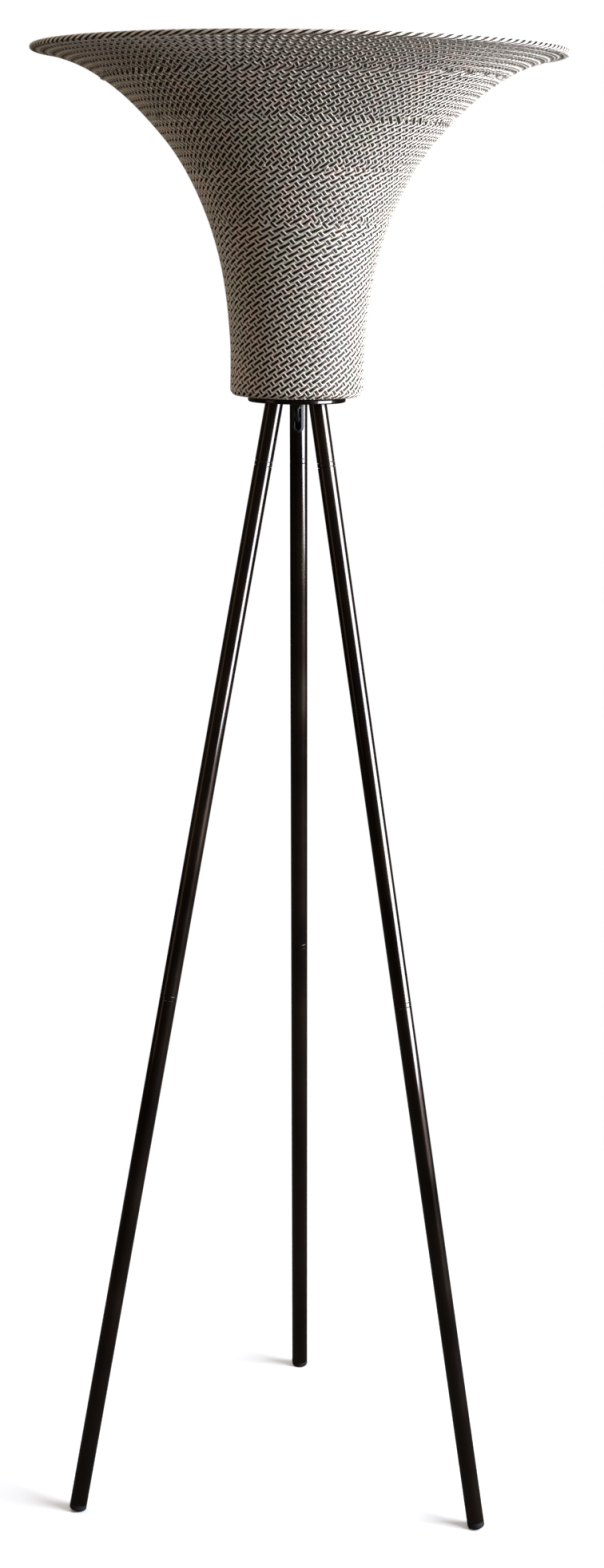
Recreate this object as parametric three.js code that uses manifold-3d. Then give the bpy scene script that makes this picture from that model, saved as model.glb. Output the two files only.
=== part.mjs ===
// Rattan floor lamp: a woven trumpet shade that opens upwards on a tripod of dark bronze tube.
// Lengths are millimetres and +Z is up. The origin is on the floor under the middle of the shade,
// and -Y is the lamp's front: two legs stand to the left and right of it, the third behind.
import * as THREE from "three";
import { mergeVertices } from "three/addons/utils/BufferGeometryUtils.js";
import Module from "manifold-3d";

const wasm = await Module();
wasm.setup();

// Gaps that let separate pieces lie together
const seatGap = 0.3;
const fitGap = 0.3;
const holeClearance = 0.3;
const overrun = 20;

// Tripod legs: tube sections that screw together, from the disc down to the floor
const tubeDiameter = 22;
const tubeWall = 1.5;
const splayDegrees = 10.68;
const legTopRadius = 30.5;
const stubLength = 73;
const upperTubeLength = 674;
const lowerTubeLength = 681;
const collarLength = 6;
const collarChamfer = 0.5;
const spigotLength = 28;
const jointBore = 9;

// Feet: plugs whose round lower edge is cut flat where it stands
const footCapLength = 8;
const footRound = 3;
const footFlatDepth = 0.6;
const footSpigotLength = 22;

// Internal lead: from the disc's underside, its route runs up the nipple to the lampholder and
// down into the back leg's slot
const leadDiameter = 5.6;
const leadRoom = 0.8;
const leadRoute = [
  [0, 0, 31.6], [0, 0, 12.1], [0, 0, -6.9], [0, 2.5, -14.9], [0, 10, -20.4], [0, 20, -22.9],
  [0, 29, -26.4], [0, 35.2, -33.4], [0, 38.2, -42.9], [0, 39.4, -47.9],
];

// Slot in the back leg where the lead enters, and its bush
const slotLength = 37;
const bushWall = 1.1;
const bushLip = 1.6;
const bushProud = 1.2;
const bushDepth = 2.2;

// Disc that carries the shade
const discRadius = 60;
const discThickness = 6;
const discEdge = 2;

// Hollow threaded nipple with its nuts and washers
const nippleWall = 1.4;
const nippleBelowNut = 2;
const nippleInHolder = 10;
const nutAcrossFlats = 14;
const nutThickness = 4;
const washerDiameter = 22;
const washerThickness = 1.5;

// Woven skin of the shade
const rimRadius = 322.3;
const neckRadius = 82.5;
const shadeHeight = 407;
const skinThickness = 4;
const cornerRadius = 10;
const lipInnerRadius = 40;
const rimSlopeDegrees = 17;

// Binding round the rim, and the wire inside it
const rimWireDiameter = 4.2;
const bindingRoom = 0.4;
const bindingWall = 1.1;
const bindingMouthDegrees = 70;

// Wire frame inside the shade
const ribCount = 6;
const ribDiameter = 4;
const ringDiameter = 3;
const ringHeightShares = [0.25, 0.58, 0.86];
const plateEdgeClearance = 0.5;
const plateThickness = 2;
const plateHubRadius = 20;
const plateRimWidth = 9;
const plateArmWidth = 12;
const plateArmCount = 4;

// Lampholder
const holderWall = 2;
const holderAirGap = 3.8;
const holderCapHeight = 24;
const holderCapTaper = 7;
const wiringHeight = 4;
const coreHeight = 12;
const threadClearance = 0.5;
const mouthClearance = 0.8;
const threadShellWall = 0.6;
const threadShellHeight = 20;
const tongueWidth = 6;
const tongueThickness = 0.8;
const tongueLength = 11;
const tongueRise = 3.4;

// Lamp bulb with a 27 mm screw cap
const capRadius = 13.1;
const capWall = 0.7;
const threadPitch = 3.63;
const threadTurns = 5;
const threadDepth = 0.5;
const capCollar = 3;
const insulatorHeight = 4;
const insulatorBaseRadius = 5.5;
const contactRadius = 4.6;
const contactThickness = 1.6;
const housingHeight = 32;
const housingTopRadius = 24;
const housingWall = 1.6;
const globeRadius = 30;
const globeWall = 1.2;

// Facets
const roundSegments = 48;
const ringSegments = 36;
const tubeSegments = 20;
const smallSegments = 24;
const wireSides = 6;
const leadSides = 8;
const leadSteps = 30;
const ribSteps = 18;
const flareSteps = 14;
const arcSteps = 3;
const bindingSteps = 6;
const globeSteps = 7;

// Shares of the flare's height and of its spread, from the neck to the rim
const flareShares = [
  [0, 0], [0.09, 0], [0.152, 0.004], [0.267, 0.023], [0.381, 0.057], [0.495, 0.114], [0.609, 0.197],
  [0.711, 0.301], [0.8, 0.429], [0.876, 0.563], [0.934, 0.703], [0.97, 0.83], [1, 1],
];

// Sizes that follow from the ones above: legs and feet
const splay = THREE.MathUtils.degToRad(splayDegrees);
const tubeRadius = tubeDiameter / 2;
const tubeBoreRadius = tubeRadius - tubeWall;
const spigotRadius = tubeBoreRadius - fitGap;
const upperTubeTop = -stubLength - collarLength;
const upperTubeEnd = upperTubeTop - upperTubeLength;
const lowerTubeTop = upperTubeEnd - collarLength;
const lowerTubeEnd = lowerTubeTop - lowerTubeLength;
const legLength = footCapLength - lowerTubeEnd;
const footLowest = footRound * (1 - Math.cos(splay)) + (tubeRadius - footRound) * Math.sin(splay);
const footEndHeight = footLowest - footFlatDepth;
const slotWidth = leadDiameter + 2 * (leadRoom + bushWall + fitGap);

// The stack on the lamp's axis, from the disc up and down
const discUnderside = footEndHeight + legLength * Math.cos(splay);
const discTop = discUnderside + discThickness;
const nippleBore = leadDiameter + 2 * leadRoom;
const nippleRadius = nippleBore / 2 + nippleWall;
const nippleHole = nippleRadius + holeClearance;
const shadeUnderside = discTop + seatGap;
const plateUnderside = shadeUnderside + skinThickness + seatGap;
const upperWasherHeight = plateUnderside + plateThickness + seatGap;
const upperNutHeight = upperWasherHeight + washerThickness + seatGap;
const holderHeight = upperNutHeight + nutThickness + seatGap;
const lowerWasherHeight = discUnderside - seatGap - washerThickness;
const lowerNutHeight = lowerWasherHeight - seatGap - nutThickness;

// Rim and wire frame
const bindingRadius = rimWireDiameter / 2 + bindingRoom + bindingWall;
const rimCentreRadius = rimRadius - bindingRadius;
const ribRadius = ribDiameter / 2;
const ringRadius = ringDiameter / 2;
const plateRadius = neckRadius - cornerRadius - plateEdgeClearance;

// Bulb, up from its contact
const capInside = capRadius - threadDepth - capWall;
const capLow = contactThickness + insulatorHeight / 2;
const capHigh = capLow + threadPitch * threadTurns + capCollar;
const housingLow = capHigh + seatGap;
const globeLow = housingLow + housingHeight + seatGap;

// Lampholder, up from its underside
const threadShellRadius = capRadius + threadClearance;
const threadShellOuter = threadShellRadius + threadShellWall;
const holderMouthRadius = threadShellOuter + mouthClearance;
const holderInside = threadShellOuter + holderAirGap;
const holderRadius = holderInside + holderWall;
const coreLow = nippleInHolder + wiringHeight;
const coreHigh = coreLow + coreHeight;
const bulbSeat = coreHigh + tongueRise + tongueThickness + 2 * seatGap;
const holderTop = bulbSeat + capHigh;

const bronze = new THREE.MeshStandardMaterial({ color: 0x241b15, roughness: 0.26, metalness: 0.85 });
const zinc = new THREE.MeshStandardMaterial({ color: 0xa9a49a, roughness: 0.4, metalness: 0.9 });
const rubber = new THREE.MeshStandardMaterial({ color: 0x161413, roughness: 0.7, metalness: 0 });
const bushPlastic = new THREE.MeshStandardMaterial({ color: 0x4b4845, roughness: 0.35, metalness: 0 });
const rattan = new THREE.MeshStandardMaterial({ color: 0x8d7d66, roughness: 0.7, metalness: 0 });
const bindingRattan = new THREE.MeshStandardMaterial({ color: 0x6f604e, roughness: 0.7, metalness: 0 });
const frameSteel = new THREE.MeshStandardMaterial({ color: 0x2b2622, roughness: 0.5, metalness: 0.6 });
const holderPlastic = new THREE.MeshStandardMaterial({ color: 0x151515, roughness: 0.4, metalness: 0 });
const corePlastic = new THREE.MeshStandardMaterial({ color: 0xd9d4c8, roughness: 0.5, metalness: 0 });
const brass = new THREE.MeshStandardMaterial({ color: 0xb8923f, roughness: 0.3, metalness: 1 });
const nickel = new THREE.MeshStandardMaterial({ color: 0xc9c9c6, roughness: 0.25, metalness: 1 });
const bulbPlastic = new THREE.MeshStandardMaterial({ color: 0xf1efe9, roughness: 0.4, metalness: 0 });
const opal = new THREE.MeshStandardMaterial({ color: 0xfbf7ee, roughness: 0.3, metalness: 0 });
const leadPlastic = new THREE.MeshStandardMaterial({ color: 0x121318, roughness: 0.45, metalness: 0 });

const lamp = new THREE.Group();

/** Adds a named mesh to a group, at a height in that group. */
function place(parent, name, geometry, material, height = 0) {
  const mesh = new THREE.Mesh(geometry, material);
  mesh.name = name;
  mesh.position.z = height;
  parent.add(mesh);
}

/** Solid turned about +Z from anticlockwise [radius, height] points that start and end on the axis. */
function turned(outline, segments) {
  const points = outline.map(([radius, height]) => new THREE.Vector2(radius, height));
  return new THREE.LatheGeometry(points, segments).rotateX(Math.PI / 2);
}

/** Ring or tube turned about +Z from an anticlockwise outline that closes on itself. */
function turnedRing(outline, segments) {
  return turned([...outline, outline[0]], segments);
}

/** Plain tube or washer: a ring with a rectangular section. */
function sleeve(boreRadius, outerRadius, low, high, segments) {
  const corners = [[boreRadius, low], [outerRadius, low], [outerRadius, high], [boreRadius, high]];
  return turnedRing(corners, segments);
}

/** Points of an arc in the outline's plane, both ends included. */
function arc(centreRadius, centreHeight, radius, fromDegrees, toDegrees, steps) {
  return Array.from({ length: steps + 1 }, (_, step) => {
    const angle = THREE.MathUtils.degToRad(fromDegrees + (toDegrees - fromDegrees) * step / steps);
    return [centreRadius + radius * Math.cos(angle), centreHeight + radius * Math.sin(angle)];
  });
}

/** Regular polygon with its corners on a circle, as a shape. */
function polygon(radius, sides) {
  const corners = Array.from({ length: sides }, (_, side) => {
    const angle = 2 * Math.PI * side / sides;
    return new THREE.Vector2(radius * Math.cos(angle), radius * Math.sin(angle));
  });
  return new THREE.Shape(corners);
}

/** Round wire or lead along a curve. */
function wireAlong(curve, radius, sides, steps) {
  const section = polygon(radius, sides);
  return new THREE.ExtrudeGeometry(section, { steps, bevelEnabled: false, extrudePath: curve });
}

/** Closed ring of round wire about +Z. */
function wireRing(centreRadius, centreHeight, radius, segments) {
  return turned(arc(centreRadius, centreHeight, radius, 0, 360, wireSides), segments);
}

/** Flat plate cut from a shape and raised along +Z. */
function plate(shape, depth) {
  return new THREE.ExtrudeGeometry(shape, { depth, bevelEnabled: false, curveSegments: smallSegments / 2 });
}

/** Manifold solid of a closed geometry, with its shared vertices merged. */
function toSolid(geometry) {
  const bare = new THREE.BufferGeometry();
  bare.setAttribute("position", geometry.attributes.position);
  bare.setIndex(geometry.index);
  const merged = mergeVertices(bare);
  const corners = merged.index.array;
  const triangles = [];
  for (let at = 0; at < corners.length; at += 3) {
    const [a, b, c] = [corners[at], corners[at + 1], corners[at + 2]];
    if (a !== b && b !== c && c !== a) triangles.push(a, b, c);
  }
  const vertProperties = Float32Array.from(merged.attributes.position.array);
  const triVerts = Uint32Array.from(triangles);
  return new wasm.Manifold(new wasm.Mesh({ numProp: 3, vertProperties, triVerts }));
}

/** Geometry of a manifold solid. */
function toGeometry(solid) {
  const mesh = solid.getMesh();
  const geometry = new THREE.BufferGeometry();
  geometry.setAttribute("position", new THREE.BufferAttribute(mesh.vertProperties, mesh.numProp));
  geometry.setIndex(new THREE.BufferAttribute(mesh.triVerts, 1));
  geometry.computeVertexNormals();
  return geometry;
}

/** Block that is level in the lamp but stands in a leg's own frame, on one side of a height there. */
function levelBlock(legHeight, drop, above) {
  const size = 4 * (tubeDiameter + overrun);
  const block = new THREE.BoxGeometry(size, size, size);
  block.translate(0, 0, (above ? size / 2 : -size / 2) - drop);
  block.rotateX(splay);
  return toSolid(block.translate(0, 0, legHeight));
}

/** Cutter for the lead's slot on a leg's inner side, wider and longer all round by a margin. */
function slotCutter(margin) {
  const half = slotWidth / 2 + margin;
  const centre = half - slotLength - margin;
  const outline = new THREE.Shape();
  outline.moveTo(half, overrun);
  outline.lineTo(-half, overrun);
  outline.lineTo(-half, centre);
  outline.absarc(0, centre, half, Math.PI, 2 * Math.PI, false);
  outline.closePath();
  const depth = tubeRadius + overrun;
  return toSolid(plate(outline, depth).rotateX(Math.PI / 2).translate(0, depth, 0));
}

/** Top section of a leg: a short tube whose upper end is cut level under the disc. */
function stubGeometry(slotted) {
  const tube = toSolid(sleeve(tubeBoreRadius, tubeRadius, -stubLength, overrun, tubeSegments));
  const level = tube.subtract(levelBlock(0, seatGap, true));
  return toGeometry(slotted ? level.subtract(slotCutter(0)) : level);
}

/** Bush that lines the slot: a wall through it and a lip that stands proud of the tube. */
function bushGeometry() {
  const low = -slotLength - overrun;
  const proudRadius = tubeRadius + fitGap + bushProud;
  const lipShell = toSolid(sleeve(tubeRadius + fitGap, proudRadius, low, overrun, tubeSegments));
  const wallShell = toSolid(sleeve(tubeRadius - bushDepth, proudRadius, low, overrun, tubeSegments));
  const lip = lipShell.intersect(slotCutter(bushLip));
  const wall = wallShell.intersect(slotCutter(-fitGap));
  const opened = lip.add(wall).subtract(slotCutter(-fitGap - bushWall));
  return toGeometry(opened.subtract(levelBlock(0, seatGap, true)));
}

/** Threaded connector between two tube sections: a collar with a spigot up and down. */
function jointGeometry() {
  const bore = jointBore / 2;
  const low = -collarLength + seatGap;
  const high = -seatGap;
  return turnedRing([
    [bore, low - spigotLength], [spigotRadius, low - spigotLength], [spigotRadius, low],
    [tubeRadius - collarChamfer, low], [tubeRadius, low + collarChamfer],
    [tubeRadius, high - collarChamfer], [tubeRadius - collarChamfer, high],
    [spigotRadius, high], [spigotRadius, high + spigotLength], [bore, high + spigotLength],
  ], tubeSegments);
}

/** Foot plug, with its end cut flat where the floor meets its round edge. */
function footGeometry() {
  const top = footCapLength - seatGap;
  const plug = toSolid(turned([
    [0, 0], ...arc(tubeRadius - footRound, footRound, footRound, -90, 0, arcSteps),
    [tubeRadius, top], [spigotRadius, top],
    [spigotRadius, top + footSpigotLength], [0, top + footSpigotLength],
  ], tubeSegments));
  return toGeometry(plug.subtract(levelBlock(0, footEndHeight, false)));
}

/** One leg, from the disc's underside to the floor. Its group's -Z runs down the leg. */
function buildLeg(name, turnDegrees, slotted) {
  const swing = new THREE.Group();
  swing.rotation.z = THREE.MathUtils.degToRad(turnDegrees);
  const leg = new THREE.Group();
  leg.position.set(0, -legTopRadius, discUnderside);
  leg.rotation.x = -splay;
  swing.add(leg);
  lamp.add(swing);

  const upperTube = sleeve(tubeBoreRadius, tubeRadius, upperTubeEnd, upperTubeTop, tubeSegments);
  const lowerTube = sleeve(tubeBoreRadius, tubeRadius, lowerTubeEnd, lowerTubeTop, tubeSegments);
  place(leg, `leg_stub_${name}`, stubGeometry(slotted), bronze);
  place(leg, `leg_joint_upper_${name}`, jointGeometry(), bronze, -stubLength);
  place(leg, `leg_upper_tube_${name}`, upperTube, bronze);
  place(leg, `leg_joint_lower_${name}`, jointGeometry(), bronze, upperTubeEnd);
  place(leg, `leg_lower_tube_${name}`, lowerTube, bronze);
  place(leg, `foot_cap_${name}`, footGeometry(), rubber, -legLength);
  if (slotted) place(leg, "lead_slot_bush", bushGeometry(), bushPlastic);
}

/** Round plate that joins the legs and carries the shade. */
function discGeometry() {
  const edgeCentre = discRadius - discEdge;
  return turnedRing([
    [nippleHole, 0],
    ...arc(edgeCentre, discEdge, discEdge, -90, 0, arcSteps),
    ...arc(edgeCentre, discThickness - discEdge, discEdge, 0, 90, arcSteps),
    [nippleHole, discThickness],
  ], ringSegments);
}

/** Hexagon nut with a plain bore. */
function nutGeometry() {
  const outline = polygon(nutAcrossFlats / 2 / Math.cos(Math.PI / 6), 6);
  outline.holes.push(new THREE.Path().absarc(0, 0, nippleHole, 0, 2 * Math.PI, true));
  return plate(outline, nutThickness);
}

/** Disc, nipple, nuts and washers: the stack that clamps the shade to the tripod. */
function buildHub() {
  const washer = sleeve(nippleHole, washerDiameter / 2, 0, washerThickness, smallSegments);
  const nippleLow = lowerNutHeight - nippleBelowNut;
  const nippleHigh = holderHeight + nippleInHolder;
  const nipple = sleeve(nippleBore / 2, nippleRadius, nippleLow, nippleHigh, smallSegments);
  place(lamp, "tripod_disc", discGeometry(), bronze, discUnderside);
  place(lamp, "threaded_nipple", nipple, zinc);
  place(lamp, "lower_washer", washer, zinc, lowerWasherHeight);
  place(lamp, "lower_nut", nutGeometry(), zinc, lowerNutHeight);
  place(lamp, "upper_washer", washer.clone(), zinc, upperWasherHeight);
  place(lamp, "upper_nut", nutGeometry(), zinc, upperNutHeight);
}

/** Outer line of the flare above the corner, as [radius, height] in the shade's own frame. */
function flareLine() {
  const slope = THREE.MathUtils.degToRad(rimSlopeDegrees);
  const back = bindingRadius + seatGap;
  const half = skinThickness / 2;
  const endRadius = rimCentreRadius - back * Math.cos(slope) + half * Math.sin(slope);
  const endHeight = shadeHeight - back * Math.sin(slope) - half * Math.cos(slope);
  const points = flareShares.map(([heightShare, spreadShare]) => new THREE.Vector2(
    neckRadius + spreadShare * (endRadius - neckRadius),
    cornerRadius + heightShare * (endHeight - cornerRadius),
  ));
  return new THREE.SplineCurve(points);
}

/** The flare's line moved square to itself, inwards and up, at a share of its length. */
function insetFlarePoint(curve, share, inset) {
  const point = curve.getPointAt(share);
  const tangent = curve.getTangentAt(share);
  return [point.x - inset * tangent.y, point.y + inset * tangent.x];
}

/** Points up the flare, moved inwards by an inset, between two shares of its length. */
function flarePoints(inset, fromShare, toShare, steps) {
  const curve = flareLine();
  return Array.from({ length: steps + 1 }, (_, step) => {
    const share = fromShare + (toShare - fromShare) * step / steps;
    return insetFlarePoint(curve, share, inset);
  });
}

/** Woven skin: a trumpet wall with a round lower corner and a lip turned in over the disc. */
function skinGeometry() {
  const cornerCentre = neckRadius - cornerRadius;
  const innerCorner = cornerRadius - skinThickness;
  const outer = flarePoints(0, 0, 1, flareSteps);
  const inner = flarePoints(skinThickness, 0, 1, flareSteps).reverse();
  return turnedRing([
    [lipInnerRadius, 0],
    ...arc(cornerCentre, cornerRadius, cornerRadius, -90, 0, arcSteps),
    ...outer.slice(1),
    ...inner,
    ...arc(cornerCentre, cornerRadius, innerCorner, 0, -90, arcSteps).slice(1),
    [lipInnerRadius, skinThickness],
  ], roundSegments);
}

/** Binding round the rim: a shell about the rim wire, open towards the skin. */
function bindingGeometry() {
  const mouth = 180 + rimSlopeDegrees;
  const from = mouth + bindingMouthDegrees / 2 - 360;
  const to = mouth - bindingMouthDegrees / 2;
  const inside = bindingRadius - bindingWall;
  return turnedRing([
    ...arc(rimCentreRadius, 0, bindingRadius, from, to, bindingSteps),
    ...arc(rimCentreRadius, 0, inside, to, from, bindingSteps),
  ], roundSegments);
}

/** Carrier plate in the bottom of the shade: a rim and a hub joined by arms. */
function carrierGeometry() {
  const outline = new THREE.Shape().absarc(0, 0, plateRadius, 0, 2 * Math.PI, false);
  outline.holes.push(new THREE.Path().absarc(0, 0, nippleHole, 0, 2 * Math.PI, true));
  const windowOuter = plateRadius - plateRimWidth;
  const outerHalfArm = Math.asin(plateArmWidth / 2 / windowOuter);
  const innerHalfArm = Math.asin(plateArmWidth / 2 / plateHubRadius);
  for (let arm = 0; arm < plateArmCount; arm += 1) {
    const start = 2 * Math.PI * arm / plateArmCount;
    const end = 2 * Math.PI * (arm + 1) / plateArmCount;
    const opening = new THREE.Path();
    opening.absarc(0, 0, windowOuter, start + outerHalfArm, end - outerHalfArm, false);
    opening.absarc(0, 0, plateHubRadius, end - innerHalfArm, start + innerHalfArm, true);
    opening.closePath();
    outline.holes.push(opening);
  }
  return plate(outline, plateThickness);
}

/** Rib of the frame: a wire that follows the skin's inner face from the carrier to the rim. */
function ribGeometry() {
  const inset = skinThickness + seatGap + ribRadius;
  const line = flarePoints(inset, 0, 1, ribSteps).slice(0, -1);
  const points = line.map(([radius, height]) => new THREE.Vector3(0, -radius, height));
  const curve = new THREE.CatmullRomCurve3(points);
  return wireAlong(curve, ribRadius, wireSides, ribSteps);
}

/** Ring of the frame that lies inside the ribs at a share of the flare's length. */
function frameRingGeometry(share) {
  const inset = skinThickness + seatGap + ribDiameter + seatGap + ringRadius;
  const [radius, height] = insetFlarePoint(flareLine(), share, inset);
  return wireRing(radius, height, ringRadius, ringSegments);
}

/** Skin, binding, rim wire, carrier, rings and ribs. */
function buildShade() {
  const shade = new THREE.Group();
  shade.position.z = shadeUnderside;
  lamp.add(shade);
  const carrierHeight = skinThickness + seatGap;
  const baseRingHeight = carrierHeight + plateThickness + seatGap + ringRadius;
  const baseRingRadius = neckRadius - skinThickness - seatGap - ribDiameter - seatGap - ringRadius;
  const baseRing = wireRing(baseRingRadius, baseRingHeight, ringRadius, ringSegments);
  const rimWire = wireRing(rimCentreRadius, shadeHeight, rimWireDiameter / 2, roundSegments);
  place(shade, "woven_skin", skinGeometry(), rattan);
  place(shade, "rim_binding", bindingGeometry(), bindingRattan, shadeHeight);
  place(shade, "rim_wire", rimWire, frameSteel);
  place(shade, "carrier_plate", carrierGeometry(), frameSteel, carrierHeight);
  place(shade, "frame_ring_base", baseRing, frameSteel);
  ringHeightShares.forEach((share, index) => {
    place(shade, `frame_ring_${index + 1}`, frameRingGeometry(share), frameSteel);
  });
  for (let rib = 0; rib < ribCount; rib += 1) {
    const spoke = new THREE.Group();
    spoke.rotation.z = 2 * Math.PI * (rib + 1 / 2) / ribCount;
    place(spoke, `frame_rib_${rib + 1}`, ribGeometry(), frameSteel);
    shade.add(spoke);
  }
}

/** Springy contact in the lampholder: a strip that lies on the core and rises to the middle. */
function tongueGeometry() {
  const outline = new THREE.Shape();
  const foot = tongueLength / 2;
  outline.moveTo(-tongueLength, 0);
  outline.lineTo(-foot, 0);
  outline.lineTo(0, tongueRise);
  outline.lineTo(foot / 2, tongueRise);
  outline.lineTo(foot / 2, tongueRise + tongueThickness);
  outline.lineTo(-tongueThickness / 2, tongueRise + tongueThickness);
  outline.lineTo(-foot - tongueThickness / 2, tongueThickness);
  outline.lineTo(-tongueLength, tongueThickness);
  outline.closePath();
  return plate(outline, tongueWidth).translate(0, 0, -tongueWidth / 2).rotateX(Math.PI / 2);
}

/** Lampholder: cap, body, insulating core, threaded shell and contact. */
function buildHolder() {
  const holder = new THREE.Group();
  holder.position.z = holderHeight;
  lamp.add(holder);
  const capFloor = holderRadius - holderCapTaper;
  const cap = turnedRing([
    [nippleHole, 0], [capFloor, 0], [holderRadius, holderCapTaper], [holderRadius, holderCapHeight],
    [holderInside, holderCapHeight], [holderInside, holderCapTaper + holderWall / 2],
    [capFloor - holderWall / 2, holderWall], [nippleHole, holderWall],
  ], smallSegments);
  const bodyLow = holderCapHeight + seatGap;
  const body = turnedRing([
    [holderInside, bodyLow], [holderRadius, bodyLow], [holderRadius, holderTop - holderWall],
    [holderInside, holderTop], [holderMouthRadius, holderTop],
    [holderMouthRadius, holderTop - holderWall], [holderInside, holderTop - 2 * holderWall],
  ], smallSegments);
  const coreRadius = holderInside - fitGap;
  const core = turned([[0, 0], [coreRadius, 0], [coreRadius, coreHeight], [0, coreHeight]], smallSegments);
  const shell = sleeve(threadShellRadius, threadShellOuter, 0, threadShellHeight, smallSegments);
  place(holder, "holder_cap", cap, holderPlastic);
  place(holder, "holder_body", body, holderPlastic);
  place(holder, "holder_core", core, corePlastic, coreLow);
  place(holder, "holder_thread_shell", shell, brass, coreHigh + seatGap);
  place(holder, "holder_contact", tongueGeometry(), brass, coreHigh + seatGap);
}

/** Screw cap of the bulb, its thread drawn as rounds one pitch apart. */
function screwCapGeometry() {
  const rootRadius = capRadius - threadDepth;
  const outline = [[capInside, 0], [rootRadius, 0]];
  for (let turn = 0; turn < threadTurns; turn += 1) {
    outline.push([capRadius, threadPitch * (turn + 1 / 2)]);
    outline.push([rootRadius, threadPitch * (turn + 1)]);
  }
  outline.push([capRadius, capHigh - capLow], [capInside, capHigh - capLow]);
  return turnedRing(outline, smallSegments);
}

/** Insulator between the bulb's contact and its screw cap: a cone with a plug inside the cap. */
function insulatorGeometry() {
  const plugRadius = capInside - fitGap;
  return turned([
    [0, 0], [insulatorBaseRadius, 0], [plugRadius, insulatorHeight / 2],
    [plugRadius, insulatorHeight * 2], [0, insulatorHeight * 2],
  ], smallSegments);
}

/** Opal globe: most of a sphere, open where it sits on the housing. */
function globeGeometry() {
  const rise = Math.sqrt(globeRadius ** 2 - housingTopRadius ** 2);
  const mouth = -THREE.MathUtils.radToDeg(Math.atan2(rise, housingTopRadius));
  return turnedRing([
    ...arc(0, rise, globeRadius, mouth, 90, globeSteps),
    ...arc(0, rise, globeRadius - globeWall, 90, mouth, globeSteps),
  ], smallSegments);
}

/** Bulb: centre contact, insulator, screw cap, housing and globe. */
function buildBulb() {
  const bulb = new THREE.Group();
  bulb.position.z = holderHeight + bulbSeat;
  lamp.add(bulb);
  const contactTop = contactThickness - seatGap;
  const contact = turned([
    [0, 0], [contactRadius, 0], [contactRadius, contactTop], [0, contactTop],
  ], smallSegments);
  const housing = turnedRing([
    [capInside, 0], [capRadius, 0], [housingTopRadius, housingHeight],
    [housingTopRadius - housingWall, housingHeight], [capInside, housingWall * 2],
  ], smallSegments);
  place(bulb, "bulb_contact", contact, brass);
  place(bulb, "bulb_insulator", insulatorGeometry(), holderPlastic, contactThickness);
  place(bulb, "bulb_screw_cap", screwCapGeometry(), nickel, capLow);
  place(bulb, "bulb_housing", housing, bulbPlastic, housingLow);
  place(bulb, "bulb_globe", globeGeometry(), opal, globeLow);
}

/** Lead inside the lamp, from the lampholder to the back leg. */
function buildLead() {
  const curve = new THREE.CatmullRomCurve3(leadRoute.map(([x, y, z]) => new THREE.Vector3(x, y, z)));
  const lead = wireAlong(curve, leadDiameter / 2, leadSides, leadSteps);
  place(lamp, "internal_lead", lead, leadPlastic, discUnderside);
}

buildLeg("left", -60, false);
buildLeg("right", 60, false);
buildLeg("back", 180, true);
buildHub();
buildShade();
buildHolder();
buildBulb();
buildLead();

export default lamp;
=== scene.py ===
"""Rattan floor lamp: its weave, bronze tripod, lampholder and bulb, dressed in a pale studio."""

import logging
import math
from dataclasses import dataclass, field
from enum import Enum

import bpy
import numpy as np
from mathutils import Matrix, Vector


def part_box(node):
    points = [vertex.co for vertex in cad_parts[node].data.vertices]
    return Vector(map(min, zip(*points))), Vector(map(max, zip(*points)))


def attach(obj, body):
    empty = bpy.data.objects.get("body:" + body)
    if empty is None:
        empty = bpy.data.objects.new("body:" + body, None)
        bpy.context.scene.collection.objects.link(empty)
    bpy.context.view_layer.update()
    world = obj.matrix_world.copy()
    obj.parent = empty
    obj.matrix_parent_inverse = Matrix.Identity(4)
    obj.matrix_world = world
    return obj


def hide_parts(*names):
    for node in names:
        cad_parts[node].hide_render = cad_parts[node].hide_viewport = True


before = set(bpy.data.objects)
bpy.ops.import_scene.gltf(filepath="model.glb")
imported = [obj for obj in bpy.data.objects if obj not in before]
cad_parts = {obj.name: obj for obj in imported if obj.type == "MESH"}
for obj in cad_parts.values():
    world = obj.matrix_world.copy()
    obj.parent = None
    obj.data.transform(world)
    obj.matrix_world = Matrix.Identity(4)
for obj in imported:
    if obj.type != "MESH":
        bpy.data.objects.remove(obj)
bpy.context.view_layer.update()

logging.basicConfig(level=logging.INFO, format="%(message)s")
log = logging.getLogger("lamp")

MM = 0.001
STAND = "stand_and_shade"
BULB = "bulb"
STRAND_UV = "Strand"
TONE = "tone"
SEAT_GAP = 0.3 * MM
SHARP_DEGREES = 35.0
Colour = tuple[float, float, float, float]
Triple = tuple[float, float, float]
Pairs = tuple[tuple[float, float], ...]


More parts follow.
